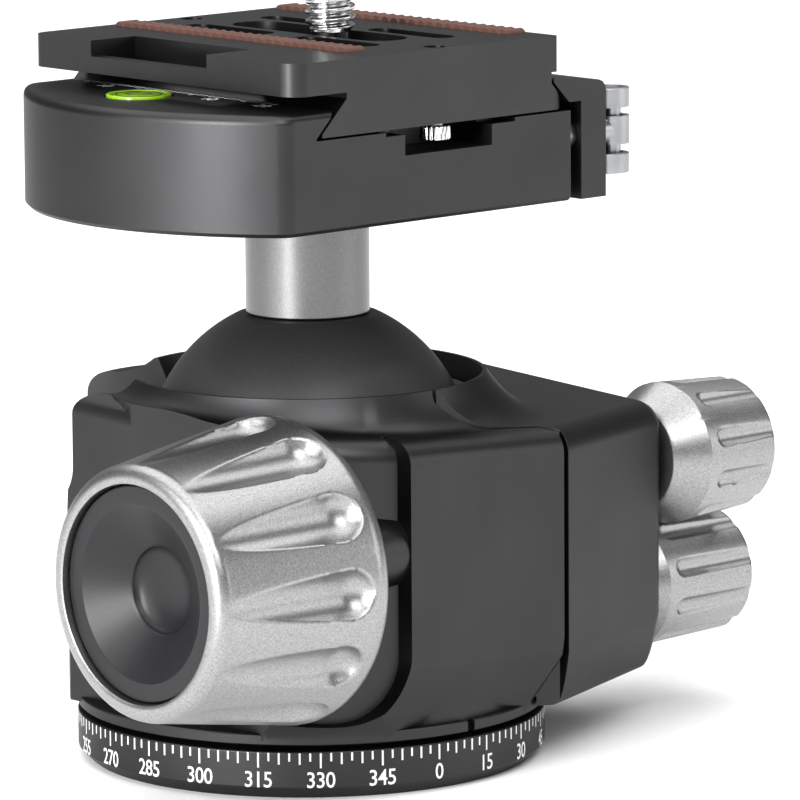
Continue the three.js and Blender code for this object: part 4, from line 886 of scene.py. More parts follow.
def make_collar():
    """Rows of points from the collar's foot up its flare. Its width changes gently around."""
    turns = [-180 + 360 * j / COLLAR_STEPS for j in range(COLLAR_STEPS)]
    raw = np.array([flare_width(t) for t in turns])
    widths = []
    for j in range(COLLAR_STEPS):
        nearby = raw.take(range(j - COLLAR_BLUR, j + COLLAR_BLUR + 1), mode="wrap")
        widths.append(min(nearby.mean(), raw[j] + 0.25))
    rows = [[] for _ in range(FLARE_ROWS + 3)]
    for degrees, width in zip(turns, widths):
        turn = math.radians(degrees)
        c, s = math.cos(turn), math.sin(turn)
        rise = RIM_TOP - top_at(RIM_RADIUS * c, RIM_RADIUS * s)
        outer = RIM_RADIUS + width
        rows[0].append((COLLAR_INNER * c, COLLAR_INNER * s, COLLAR_BOTTOM))
        rows[1].append((outer * c, outer * s, COLLAR_BOTTOM))
        for i in range(FLARE_ROWS):
            share = (1 - i / (FLARE_ROWS - 1)) ** 1.15
            radius = RIM_RADIUS + width * share
            x, y = radius * c, radius * s
            lift = rise * (1 - share) ** FLARE_POWER
            rows[2 + i].append((x, y, top_at(x, y) + lift - FLARE_SINK * share))
        rows[-1].append((COLLAR_INNER * c, COLLAR_INNER * s, RIM_TOP))
    return loft("collar", rows)


print("collar flare from", round(flare_width(180), 2), "to", round(flare_width(0), 2), "mm")

# %% [markdown]
# Inside are pockets for the two seats, with free room around the ball between them. The slit
# parts the housing into its halves along a bent path, and a round slot in the rim lets the stem
# tip over to the side.

# %% The room for the ball, the slit and the slot
FREE_ROOM = BALL_RADIUS + 0.8
SHELL_TURN = 64.5
RING_LOW, RING_HIGH = BALL_Z + 0.7, BALL_Z + 8.6


def on_sphere(radius, heights):
    return [(math.sqrt(radius ** 2 - (z - BALL_Z) ** 2), float(z)) for z in heights]


def make_room():
    """A pocket for the lower seat, free room around the ball and a pocket for the ring."""
    shell_top = BALL_Z - SEAT_POCKET * math.cos(math.radians(SHELL_TURN))
    profile = [(0, BALL_Z - SEAT_POCKET)]
    for i in range(1, 19):
        turn = math.radians(SHELL_TURN * i / 18)
        profile.append((SEAT_POCKET * math.sin(turn), BALL_Z - SEAT_POCKET * math.cos(turn)))
    profile += on_sphere(FREE_ROOM, np.linspace(shell_top, RING_LOW, 14))
    profile += on_sphere(SEAT_POCKET, np.linspace(RING_LOW, RING_HIGH, 12))
    lip = RIM_RADIUS - RIM_LAND
    profile += [(lip, RIM_TOP), (lip + 0.35, RIM_TOP + 1), (0, RIM_TOP + 1)]
    return turned("room", profile, steps=144)


SLIT_WIDTH = 0.8
SLIT_PATH = [
    (17.0, -BLOCK_END - 1), (17.0, -FRONT_FACE + 1.45), (14.6, -FRONT_FACE + 2.9),
    (7.0, -FRONT_FACE + 4.0), (0.6, -FRONT_FACE + 6.6), (0.6, BLOCK_END + 1),
]


def beside_slit(shift):
    """The outline of everything on the +X side of the slit, which moves by the shift."""
    line = []
    points = [Vector(p) for p in SLIT_PATH]
    for i, point in enumerate(points):
        before = (points[max(i, 1)] - points[max(i, 1) - 1]).normalized()
        after = (points[min(i, 4) + 1] - points[min(i, 4)]).normalized()
        along = (before + after).normalized()
        reach = shift / along.dot(after)
        line.append((point.x + along.y * reach, point.y - along.x * reach))
    far = BLOCK_END + 1
    return line + [(far, far), (far, -far)]


SLOT_TURN = 131
SLOT_HALF = box_mm("stem")[1].x + 0.5


def make_slot():
    profile = [(SLOT_HALF * math.cos(t), SLOT_HALF * math.sin(t))
               for t in np.linspace(-math.pi, 0, 41)]
    profile += [(SLOT_HALF, RIM_TOP), (-SLOT_HALF, RIM_TOP)]
    turn = Matrix.Rotation(math.radians(SLOT_TURN), 4, "Z")
    ends = []
    for reach in (0, BLOCK_END):
        ends.append([tuple(turn @ Vector((reach, across, BALL_Z + up))) for across, up in profile])
    return loft("slot", ends)


print("slot half width", round(SLOT_HALF, 2), "bolt axis", round(BOLT_Y, 2), round(BOLT_Z, 2))

# %% [markdown]
# Each half is put together from its bodies and cut in the order a machinist would take: the
# large rooms first, then the bores for the bolt and the screws, and last the index notch that
# points at the dial.

# %% Cut and finish the halves
SPINDLE_ROOM = 15.8
SPINDLE_ROOM_HEIGHT = 4.1
BOLT_ROOM, BOLT_ROOM_END = 3.3, 18.9
SHANK_ROOM, SHANK_ROOM_START = 2.3, -5.8
HEAD_ROOM, HEAD_ROOM_START = 3.2, 11.7
BOSS_RADIUS, BOSS_START = 4.7, -22.6
NECK_ROOM = 12.8
INDEX_HALF = 0.6
KNOB_SCREW_ROOM = 2.8
FLANGE_EDGE = 0.15
OUTSIDE = BLOCK_END + 1
ABOVE = RIM_TOP + 1


def cut_shared(half):
    combine(half, make_room())
    combine(half, make_slot())
    floor = FLOOR_TOP - 0.1
    combine(half, disc("spindle_room", SPINDLE_ROOM, floor, FLOOR_TOP + SPINDLE_ROOM_HEIGHT))
    combine(half, bore_x(BOLT_ROOM, KNOB_BACK - 1, BOLT_ROOM_END, BOLT_Y, BOLT_Z))
    for node in ("housing_screw_low", "housing_screw_high"):
        screw = middle(node)
        combine(half, bore_x(SHANK_ROOM, SHANK_ROOM_START, BLOCK_END, screw.y, screw.z))
        combine(half, bore_x(HEAD_ROOM, HEAD_ROOM_START, OUTSIDE, screw.y, screw.z))
    return half


def make_housing_main():
    half = make_barrel()
    combine(half, make_pad(), "UNION")
    flush = outline([left_flat(), *(facing(a, BLOCK_END, 0) for a in (270, 360, 450))])
    collar = combine(make_collar(), prism("flush", flush, 0, ABOVE), "INTERSECT")
    combine(half, collar, "UNION")
    combine(half, prism("beside", beside_slit(-SLIT_WIDTH / 2), 0, ABOVE))
    combine(half, bore_x(BOSS_RADIUS, BOSS_START, PAD_START + 1, BOLT_Y, BOLT_Z), "UNION")
    inner = FLANGE_RADIUS - FLANGE_EDGE
    combine(half, turned("flange", [
        (0, FLANGE_BOTTOM), (inner, FLANGE_BOTTOM), (FLANGE_RADIUS, FLANGE_BOTTOM + FLANGE_EDGE),
        (FLANGE_RADIUS, FLANGE_TOP - FLANGE_EDGE), (inner, FLANGE_TOP), (FLOOR_RADIUS, FLANGE_TOP),
        (FLOOR_RADIUS, FLOOR_TOP), (0, FLOOR_TOP),
    ], steps=192), "UNION")
    cut_shared(half)
    combine(half, disc("neck", NECK_ROOM, FLANGE_BOTTOM - 1, FLOOR_TOP + 1))
    combine(half, block(
        "index", (-INDEX_HALF, -FLANGE_RADIUS - 1, FLANGE_BOTTOM - 1),
        (INDEX_HALF, -FLANGE_RADIUS + 1, FLANGE_TOP + 1)))
    return half


def make_housing_side():
    half = make_block()
    combine(half, make_collar(), "UNION")
    combine(half, prism("beside", beside_slit(SLIT_WIDTH / 2), 0, ABOVE), "INTERSECT")
    cut_shared(half)
    flange, floor = FLANGE_RADIUS + FIT_GAP, FLOOR_RADIUS + FIT_GAP
    combine(half, turned("flange_room", [
        (0, 0), (flange, 0), (flange, FLANGE_TOP + FIT_GAP), (floor, FLANGE_TOP + FIT_GAP),
        (floor, FLOOR_TOP + FIT_GAP), (0, FLOOR_TOP + FIT_GAP),
    ], steps=192))
    for node in ("friction_screw", "pan_lock_screw"):
        start, screw = box_mm(node)[0].x - FIT_GAP, middle(node)
        combine(half, bore_x(KNOB_SCREW_ROOM, start, OUTSIDE, screw.y, screw.z))
    return half


for maker, node in ((make_housing_main, "housing_main"), (make_housing_side, "housing_side")):
    half = tidy_faces(maker())
    half.name = node.replace("housing", "shell")
    dress(half, black_anodised, node)
    soften(half, 0.2)
    low, high = half.bound_box[0], half.bound_box[6]
    print(half.name, len(half.data.polygons), "faces", [round(c / MM, 1) for c in (*low, *high)])

# %% [markdown]
# ## The ball and its stem
# The ball is turned from one bar and flattened on top where the stem screws in. A swept arc
# with many steps keeps its edge round at any zoom. The stem is a plain turned neck, and its
# two ends are broken with a small chamfer so that they catch a thin line of light.

# %% Ball and stem
flat_z = ball_high.z
flat_turn = math.degrees(math.asin((flat_z - BALL_Z) / BALL_RADIUS))
flat_radius = BALL_RADIUS * math.cos(math.radians(flat_turn))
ball = turned("ball_sphere", [
    (0, BALL_Z - BALL_RADIUS),
    *arc(0, BALL_Z, BALL_RADIUS, -88, flat_turn - 0.8, 88),
    (flat_radius - 0.25, flat_z), (0, flat_z),
], steps=160)
dress(ball, ball_finish, "ball", angle=30)

STEM_RADIUS, STEM_TOP = box_mm("stem")[1].x, box_mm("stem")[1].z
STEM_FOOT = flat_z + 0.1
FOOT_EDGE, TOP_EDGE = 0.3, 0.4
THREAD_ROOM, THREAD_DEPTH = 3.3, 9
stem = turned("stem_neck", [
    (0, STEM_FOOT), (STEM_RADIUS - FOOT_EDGE, STEM_FOOT),
    *arc(STEM_RADIUS - FOOT_EDGE, STEM_FOOT + FOOT_EDGE, FOOT_EDGE, -60, 0, 4),
    *arc(STEM_RADIUS - TOP_EDGE, STEM_TOP - TOP_EDGE, TOP_EDGE, 0, 90, 5),
    (THREAD_ROOM, STEM_TOP), (THREAD_ROOM, STEM_TOP - THREAD_DEPTH), (0, STEM_TOP - THREAD_DEPTH),
], steps=128)
dress(stem, stem_silver, "stem", angle=30)
print("ball faces", len(ball.data.polygons), "stem faces", len(stem.data.polygons))

# %% [markdown]
# ## The main knob
# The knob is turned to a cone, then a ball-nosed cutter mills twelve drop-shaped flutes that
# are deep at the back and run out toward the cap. Instead of cutting the mesh, each point of a
# fine grid is pulled in to the flute's floor: the radius at a point is the smaller of the
# cone's and the flute's. Taking that smaller value gently rounds the flute's edge, which is
# what blasting does to it.

# %% Pulling a turned grid into grooves


def gentle_min(outer, floor, softness):
    """The smaller of two radii, with the corner between them rounded."""
    depth = outer - floor
    return outer - (depth + np.sqrt(depth ** 2 + softness ** 2)) / 2


def grooved(name, profile, floor_at, count, place, steps, softness):
    """A closed turned profile whose outer rows are pulled in by equal grooves."""
    turns = np.arange(steps) * 2 * math.pi / steps
    pitch = 2 * math.pi / count
    from_groove = np.abs((turns + pitch / 2) % pitch - pitch / 2)
    points = []
    for radius, height, grooves in profile:
        radii = np.full(steps, float(radius))
        if grooves:
            radii = gentle_min(radii, floor_at(from_groove, height), softness)
        for turn, reach in zip(turns, radii):
            points.append(place @ Vector((reach * math.cos(turn), reach * math.sin(turn), height)))
    return put_mesh(name, points, grid_faces(len(profile), steps, True))


def plain(points):
    return [(radius, height, False) for radius, height in points]


def cut_rows(points):
    return [(radius, height, True) for radius, height in points]


def evenly(start, end, spacing):
    """Points between two profile points, so far apart, without the first."""
    count = max(1, round(math.dist(start, end) / spacing))
    return [tuple(a + (b - a) * i / count for a, b in zip(start, end))
            for i in range(1, count + 1)]


print("groove helpers ready")

# %% [markdown]
# The knob's profile runs from its bore over the back, along the cone and over the rim to the
# room for its cap. Only the rows on the outside are grooved. A flute's cutter has a real
# radius, and its axis comes out of the cone toward the cap.

# %% Main knob
knob_low, knob_high = box_mm("main_knob")
KNOB_Y, KNOB_Z = middle("main_knob").y, middle("main_knob").z
KNOB_LENGTH = knob_high.x - knob_low.x
KNOB_WIDE = KNOB_RADIUS
KNOB_BORE = 3.3
KNOB_FACE = 12.0
KNOB_CAP_END = 15.6
KNOB_BACK_RADIUS = 15.2
KNOB_BACK_ROUND = 3.4
KNOB_RIM_ROUND = 1.7
CAP_RADIUS = (box_mm("main_knob_cap")[1].z - box_mm("main_knob_cap")[0].z) / 2
CAP_ROOM = CAP_RADIUS + 0.25
CAP_HEIGHT, CAP_SINK = 6.4, 0.9
CAP_DEPTH = CAP_SINK + CAP_HEIGHT + FIT_GAP
FLUTES = 12
FLUTE_WIDE, FLUTE_NARROW = 3.5, 3.3
FLUTE_WIDE_DEPTH, FLUTE_NARROW_DEPTH = 2.2, 0.02
FLUTE_START, FLUTE_END = 4.0, 1.4


def knob_radius(height):
    share = (height - KNOB_BACK_ROUND) / (KNOB_LENGTH - KNOB_BACK_ROUND)
    return KNOB_WIDE + (KNOB_CAP_END - KNOB_WIDE) * share


def flute_floor(turn, height):
    wide_z = FLUTE_START + FLUTE_WIDE
    narrow_z = KNOB_LENGTH - FLUTE_END
    share = min(max((height - wide_z) / (narrow_z - wide_z), 0), 1)
    wide_reach = knob_radius(wide_z) - FLUTE_WIDE_DEPTH + FLUTE_WIDE
    narrow_reach = knob_radius(narrow_z) - FLUTE_NARROW_DEPTH + FLUTE_NARROW
    reach = wide_reach + (narrow_reach - wide_reach) * share
    size = FLUTE_WIDE + (FLUTE_NARROW - FLUTE_WIDE) * share
    beyond = max(wide_z - height, height - narrow_z, 0)
    size_squared = max(size ** 2 - beyond ** 2, 0)
    inside = np.maximum(size_squared - (reach * np.sin(turn)) ** 2, 0)
    return reach * np.cos(turn) - np.sqrt(inside)


back_arc = [(KNOB_BACK_RADIUS + (KNOB_WIDE - KNOB_BACK_RADIUS) * math.sin(t),
             KNOB_BACK_ROUND * (1 - math.cos(t))) for t in np.linspace(0, math.pi / 2, 10)]
rim_start = KNOB_LENGTH - KNOB_RIM_ROUND
rim_radius = knob_radius(rim_start)
knob_profile = [
    *plain([(KNOB_BORE, 0), (KNOB_FACE, 0)]),
    *cut_rows(back_arc),
    *cut_rows(evenly(back_arc[-1], (rim_radius, rim_start), 0.2)),
    *cut_rows(arc(rim_radius - KNOB_RIM_ROUND, rim_start, KNOB_RIM_ROUND, 6, 90, 9)),
    *plain([(CAP_ROOM + 0.12, KNOB_LENGTH), (CAP_ROOM, KNOB_LENGTH - 0.12)]),
    *plain([(CAP_ROOM, KNOB_LENGTH - CAP_DEPTH), (KNOB_BORE, KNOB_LENGTH - CAP_DEPTH)]),
]
knob_place = along_x(knob_high.x, KNOB_Y, KNOB_Z, -1)
knob = grooved("main_grip", knob_profile, flute_floor, FLUTES, knob_place, FLUTES * 44, 0.08)
dress(knob, knob_silver, "main_knob", angle=50)
print("main knob", len(knob.data.polygons), "faces, wide radius", round(KNOB_WIDE, 2))

# %% [markdown]
# ## The knob's cap
# A moulded cap closes the knob's end: a flat ring, a wide cone that falls to the middle and a
# round pit. It is turned like the rest, and the corners of the profile are rounded by short
# arcs so that the ring's edge shows as a thin light line.

# %% Cap
CAP_RING = 2.3
CAP_EDGE = 0.2
CAP_PIT = 5.4
DISH_DEPTH, PIT_DEPTH = 3.3, 1.7
dish_radius = CAP_RADIUS - CAP_RING
pit_top = CAP_HEIGHT - DISH_DEPTH
pit_curve = [(CAP_PIT * math.cos(t) ** 0.8, pit_top - PIT_DEPTH * math.sin(t))
             for t in np.linspace(0.08, math.pi / 2 - 0.12, 10)]
cap = turned("grip_cap", [
    (0, 0), (CAP_RADIUS, 0),
    *arc(CAP_RADIUS - CAP_EDGE, CAP_HEIGHT - CAP_EDGE, CAP_EDGE, 0, 90, 4),
    (dish_radius + 0.12, CAP_HEIGHT), (dish_radius - 0.08, CAP_HEIGHT - 0.07),
    (CAP_PIT + 3.6, CAP_HEIGHT - 1.25), (CAP_PIT + 1.6, CAP_HEIGHT - 2.35),
    (CAP_PIT + 0.45, pit_top + 0.16), (CAP_PIT + 0.15, pit_top + 0.02),
    *pit_curve, (0, pit_top - PIT_DEPTH),
], along_x(box_mm("main_knob_cap")[1].x, KNOB_Y, KNOB_Z, -1), steps=160)
dress(cap, cap_plastic, "main_knob_cap", angle=24)
print("cap faces", len(cap.data.polygons))

# %% [markdown]
# ## The two small knobs
# The friction knob and the pan lock are turned with a cone at the foot and ten straight
# grooves that start in a round end and run off the front. The same pulling-in makes them.

# %% Small knobs
GROOVES = 10
GROOVE_RADIUS = 1.45
GROOVE_DEPTH = 0.75
GROOVE_INSET = 1.6
KNOB_EDGE = 1.0
SCREW_BORE, SCREW_BORE_DEPTH = 2.8, 12.3
DIMPLE, DIMPLE_DEPTH = 0.8, 1.0


def make_small_knob(name, node, shoulder, foot_radius, end_radius):
    low, high = box_mm(node)
    length, radius = high.x - low.x, (high.z - low.z) / 2
    centre = middle(node)
    start = shoulder + GROOVE_INSET + GROOVE_RADIUS
    reach = (radius + end_radius) / 2 - GROOVE_DEPTH + GROOVE_RADIUS

    def floor_at(turn, height):
        size_squared = max(GROOVE_RADIUS ** 2 - max(start - height, 0) ** 2, 0)
        inside = np.maximum(size_squared - (reach * np.sin(turn)) ** 2, 0)
        return reach * np.cos(turn) - np.sqrt(inside)

    corner = arc(radius - 0.35, shoulder + 0.2, 0.35, -50, 4, 5)
    side = (end_radius, length - KNOB_EDGE)
    profile = [
        *plain([(SCREW_BORE, 0), (foot_radius - 0.2, 0), (foot_radius, 0.15)]),
        *plain(evenly((foot_radius, 0.15), corner[0], 0.6)),
        *cut_rows(corner[1:]),
        *cut_rows(evenly(corner[-1], side, 0.2)),
        *cut_rows(arc(end_radius - KNOB_EDGE, length - KNOB_EDGE, KNOB_EDGE, 8, 90, 10)),
        *cut_rows([(end_radius - 1.6, length)]),
        *plain([(end_radius - 2.4, length), (DIMPLE + 0.1, length), (DIMPLE, length - 0.15)]),
        *plain([(DIMPLE, length - DIMPLE_DEPTH), (DIMPLE / 2, length - DIMPLE_DEPTH - 0.4)]),
        *plain([(DIMPLE / 2, SCREW_BORE_DEPTH), (SCREW_BORE, SCREW_BORE_DEPTH)]),
    ]
    knob = grooved(name, profile, floor_at, GROOVES, along_x(low.x, centre.y, centre.z),
                   GROOVES * 36, 0.07)
    dress(knob, knob_silver, node, angle=50)
    print(name, len(knob.data.polygons), "faces, radius", round(radius, 2))


make_small_knob("friction_grip", "friction_knob", 4.3, 6.6, 8.7)
make_small_knob("pan_lock_grip", "pan_lock_knob", 2.4, 6.8, 8.3)

# %% [markdown]
# ## The clamp
# The clamp is one milled block: a long flat front, a round left end swept about the stem's
# axis, and a groove across the top whose left wall leans over the plate's foot. The outline is
# lofted with a small chamfer below and a round above, and then every groove, notch and bore
# is cut out of it. Cutting, and not gluing strips together, keeps the walls truly flat.

# %% Helpers for milled pieces


def bar_y(name, section, front, back):
    """A bar along Y over a section given as (x, z) points."""
    return loft(name, [[(x, y, z) for x, z in section] for y in (front, back)])


def bore_z(x, y, radius, bottom, top, steps=48):
    return disc("bore", radius, bottom, top, upright(x, y), steps)


def slot_y(x, half_width, front, back, bottom, top, steps=14):
    """A slot along Y with round ends."""
    points = []
    for y, start in ((back - half_width, 0), (front + half_width, math.pi)):
        for i in range(steps + 1):
            turn = start + math.pi * i / steps
            points.append((x + half_width * math.cos(turn), y + half_width * math.sin(turn)))
    return prism("slot", points, bottom, top)


def finish_milled(piece, material, node, edge):
    """Dresses a milled piece and breaks its edges."""
    dress(tidy_faces(piece), material, node)
    soften(piece, edge)
    print(piece.name, len(piece.data.polygons), "faces")


print("milling helpers ready")

# %% [markdown]
# The left end's arc is centred on the stem and its corners are rounded. Everything that the
# clamp carries has its room cut here: the bolt's head, the level, the draw rod, the guide pins
# with their springs, and the notches that the plate's stop pins pass through.

# %% Clamp body
clamp_low, clamp_high = box_mm("clamp_body")
CLAMP_TOP = clamp_high.z
CLAMP_HALF = clamp_high.y
CLAMP_ARC = -clamp_low.x
CLAMP_CORNER = 3.4
CLAMP_ROUND = 1.2
CLAMP_CHAMFER = 0.5
CORNER_Y = CLAMP_HALF - CLAMP_CORNER
CORNER_X = -math.sqrt((CLAMP_ARC - CLAMP_CORNER) ** 2 - CORNER_Y ** 2)
CORNER_TURN = math.degrees(math.atan2(CORNER_Y, CORNER_X))
GROOVE_FLOOR = CLAMP_TOP - 3.5
GROOVE_LEFT, GROOVE_LIP = -20.8, -17.6
NOTCHES = ((-6.1, 8.7, 17, 79.7), (-9.3, 12.7, 22, GROOVE_FLOOR - 0.5))
BOLT_HEAD_ROOM, BOLT_SHANK_ROOM = 5.3, 3.3
LEVEL_ROOM, LEVEL_SINK = 4.4, 1.3
ROD_ROOM, PIN_ROOM, SPRING_ROOM = 2.1, 1.8, 2.9
ROD_ROOM_START, PIN_ROOM_START, SPRING_ROOM_START = 10.7, 11.7, 18.9
CLAMP_PAST = 24.3
ROD_Y, ROD_Z = middle("draw_rod").y, middle("draw_rod").z
LEVEL = middle("level_cup")


def make_clamp():
    sides = [
        facing(0, clamp_high.x, 0),
        *round_facings(CORNER_X, CORNER_Y, CLAMP_CORNER, 90, CORNER_TURN, 10),
        *round_facings(0, 0, CLAMP_ARC, CORNER_TURN, 360 - CORNER_TURN, 64)[1:-1],
        *round_facings(CORNER_X, -CORNER_Y, CLAMP_CORNER, 360 - CORNER_TURN, 270, 10),
    ]
    levels = [(CLAMP_CHAMFER, clamp_low.z), (0, clamp_low.z + CLAMP_CHAMFER)]
    for inset, z in arc(0, 0, CLAMP_ROUND, 0, 90):
        levels.append((CLAMP_ROUND - inset, CLAMP_TOP - CLAMP_ROUND + z))
    return loft(
        "clamp_shell", [[(x, y, z) for x, y in outline(sides, inset)] for inset, z in levels])


clamp = make_clamp()
over = CLAMP_TOP + 1
combine(clamp, bar_y("groove", [
    (CLAMP_PAST - 0.9, over), (GROOVE_LIP + 1, over), (GROOVE_LIP, CLAMP_TOP),
    (GROOVE_LEFT, GROOVE_FLOOR + 0.3), (GROOVE_LEFT, GROOVE_FLOOR),
    (CLAMP_PAST - 0.9, GROOVE_FLOOR),
], -CLAMP_HALF - 1, CLAMP_HALF + 1))
combine(clamp, bore_z(0, 0, BOLT_HEAD_ROOM, box_mm("clamp_bolt")[1].z - 5.3, over))
combine(clamp, bore_z(0, 0, BOLT_SHANK_ROOM, clamp_low.z - 1, over))
combine(clamp, bore_z(LEVEL.x, LEVEL.y, LEVEL_ROOM, LEVEL.z - LEVEL_SINK, over, 72))
combine(clamp, bore_x(ROD_ROOM, ROD_ROOM_START, CLAMP_PAST, ROD_Y, ROD_Z))
for side, name in ((-1, "jaw_pin_front"), (1, "jaw_pin_back")):
    pin = middle(name)
    combine(clamp, bore_x(PIN_ROOM, PIN_ROOM_START, CLAMP_PAST, pin.y, pin.z))
    combine(clamp, bore_x(SPRING_ROOM, SPRING_ROOM_START, CLAMP_PAST, pin.y, pin.z))
    for left, right, start, bottom in NOTCHES:
        front, back = sorted((side * start, side * (CLAMP_HALF + 1)))
        combine(clamp, block("notch", (left, front, bottom), (right, back, over)))
finish_milled(clamp, black_anodised, "clamp_body", 0.25)

# %% [markdown]
# A small ruler is engraved along the clamp's left shoulder, so that a camera can be put back
# in the same place, and filled white like the dial. Its zero has no number, because that would
# stand on the level.

# %% Ruler on the clamp
RULER_X = -18.1
RULER_HALF = 20
RULER_MIDDLE = 5.0
RULER_LONG, RULER_SHORT = 1.5, 0.95
RULER_LINE = 0.28
RULER_NUMBER_X = RULER_X - 3.3
RULER_NUMBER_HEIGHT = 1.7
MARK_Z = CLAMP_TOP + MARK_RISE


def ruler_tick(value):
    y, half = RULER_MIDDLE - value, RULER_LINE / 2
    length = RULER_LONG if value % 5 == 0 else RULER_SHORT
    corners = ((0, -half), (0, half), (-length, half), (-length, -half))
    return [(RULER_X + x, y + across, MARK_Z) for x, across in corners], [(0, 1, 2, 3)]


def ruler_number(value):
    flat, faces = flat_text(str(abs(value)), RULER_NUMBER_HEIGHT)
    return [(RULER_NUMBER_X + y, RULER_MIDDLE - value - x, MARK_Z) for x, y, _ in flat], faces


fill_white(joined("ruler_marks", [
    *(ruler_tick(i) for i in range(-RULER_HALF, RULER_HALF + 1)
      if 1 - CLAMP_HALF <= RULER_MIDDLE - i <= CLAMP_HALF - 1.2),
    *(ruler_number(value) for value in (-10, 10, 20)),
]), "clamp_body")

# %% [markdown]
# ## The level
# The bullseye level is a little cup of bright green spirit under a clear lens. Two black rings
# are printed on it, and the bubble sits inside the small one when the clamp is level. The
# spirit fills the cup up to the lens, so the lens takes the spirit's own green here. A truly
# clear lens would only show the dark wall of the cup from so low a camera.

# %% Level
cup_low, cup_high = box_mm("level_cup")
lens_low, lens_high = box_mm("level_lens")
at_level = upright(LEVEL.x, LEVEL.y)
CUP_RADIUS = cup_high.x - LEVEL.x
LENS_RADIUS = lens_high.x - LEVEL.x
CUP_EDGE = 0.15
cup_inner, cup_floor = CUP_RADIUS - CUP_EDGE, cup_low.z + 0.5
cup_rim = turned("level_rim", [
    (0, cup_low.z), (cup_inner, cup_low.z), (CUP_RADIUS, cup_low.z + CUP_EDGE),
    *arc(cup_inner, cup_high.z - CUP_EDGE, CUP_EDGE, 0, 90, 4),
    *arc(LENS_RADIUS + 0.42, cup_high.z - 0.1, 0.1, 90, 180, 4),
    (LENS_RADIUS + FIT_GAP, cup_floor), (0, cup_floor),
], at_level, 96)
dress(cup_rim, level_spirit, "level_cup")
lens = turned("level_glass", [
    (0, lens_low.z), (LENS_RADIUS, lens_low.z),
    *arc(LENS_RADIUS - 0.25, lens_high.z - 0.32, 0.25, 0, 70, 5),
    (LENS_RADIUS * 0.5, lens_high.z - 0.03), (0, lens_high.z),
], at_level, 96)
dress(lens, level_spirit, "level_lens")
for name, inner, outer, drop in (
    ("level_ring", 1.35, 1.65, 0.01), ("level_edge", 2.75, 3.0, 0.05),
):
    foot_z, top_z = lens_high.z - 0.2, lens_high.z - drop
    ring = [(inner, foot_z), (outer, foot_z), (outer, top_z), (inner, top_z)]
    printed = turned(name, ring, at_level, 64, closed=True)
    dress(printed, dark_acetal, "level_cup", stands_for=False)
print("level radius", round(CUP_RADIUS, 2), "lens", round(LENS_RADIUS, 2))

# %% [markdown]
# ## The jaw, the lever and the rod
# The jaw closes the right side of the groove. Its lip leans over the plate and its edges are
# rounded more than the clamp's, because fingers touch them.

# %% Jaw
jaw_low, jaw_high = box_mm("moving_jaw")
JAW_INNER, JAW_LIP, JAW_OUTER = 24.3, 19.5, 28.65
JAW_SLOPE_FOOT = 83.85
jaw = bar_y("jaw_bar", [
    (JAW_INNER, jaw_low.z), (JAW_OUTER, jaw_low.z), (JAW_OUTER, 85.0), (28.5, 85.5), (28.15, 86.0),
    (27.45, 86.3), (19.9, jaw_high.z), (JAW_LIP, jaw_high.z - 0.2), (JAW_LIP, 86.6),
    (22.195, JAW_SLOPE_FOOT), (JAW_INNER, JAW_SLOPE_FOOT),
], jaw_low.y, jaw_high.y)
for radius, y, z in (
    (ROD_ROOM, ROD_Y, ROD_Z),
    *((PIN_ROOM, middle(n).y, middle(n).z) for n in ("jaw_pin_front", "jaw_pin_back")),
):
    combine(jaw, bore_x(radius, JAW_INNER - 1, JAW_OUTER + 0.65, y, z))
finish_milled(jaw, black_anodised, "moving_jaw", 0.3)

# %% [markdown]
# The lever is a flat silver bar that ends in a fork: its two prongs hold the draw rod's eye on
# a pin a little off the middle of their round ends, so that swinging the lever pulls the jaw
# in. Two more pins guide the jaw.

# %% Lever, rod and pins
lever_low, lever_high = box_mm("lever")
rod_low, rod_high = box_mm("draw_rod")
pin_low, pin_high = box_mm("lever_pin")
pin_at = middle("lever_pin")
LEVER_LEFT, LEVER_RIGHT = lever_low.x, 33.15
LEVER_TIP = (LEVER_RIGHT - LEVER_LEFT) / 2
EYE_X, EYE_RADIUS = 31.7, 2.75
PRONG = 2.5
FORK_END = -11.2
PIN_BORE = 1.5
ROD_EYE, ROD_EYE_HALF = 2.3, 1.8


def make_lever():
    points = [(LEVER_LEFT, ROD_Y), (LEVER_RIGHT, ROD_Y)]
    points += arc(LEVER_LEFT + LEVER_TIP, lever_high.y - LEVER_TIP, LEVER_TIP, 0, 180, 24)
    arm = prism("lever_arm", points, lever_low.z, lever_high.z)
    combine(arm, bore_z(EYE_X, ROD_Y, EYE_RADIUS, lever_low.z, lever_high.z, 72), "UNION")
    combine(arm, block(
        "fork", (20, lever_low.y - 1, lever_low.z + PRONG), (40, FORK_END, lever_high.z - PRONG)))
    return combine(arm, bore_z(pin_at.x, pin_at.y, PIN_BORE, lever_low.z - 1, lever_high.z + 1))


def bar_profile(radius, length, edge, start=0):
    """A round bar with both ends chamfered."""
    end = start + length
    return [(0, start), (radius - edge, start), (radius, start + edge), (radius, end - edge),
            (radius - edge, end), (0, end)]


finish_milled(make_lever(), turned_steel, "lever", 0.4)

rod = turned("rod_shank", [
    (0, 0), (1.5, 0), (1.8, 0.3), (1.8, pin_at.x - rod_low.x), (0, pin_at.x - rod_low.x),
], along_x(rod_low.x, ROD_Y, ROD_Z), 64)
combine(rod, bore_z(
    pin_at.x, pin_at.y, ROD_EYE, ROD_Z - ROD_EYE_HALF, ROD_Z + ROD_EYE_HALF, 64), "UNION")
combine(rod, bore_z(pin_at.x, pin_at.y, PIN_BORE, rod_low.z - 1, rod_high.z + 1))
finish_milled(rod, turned_steel, "draw_rod", 0.12)

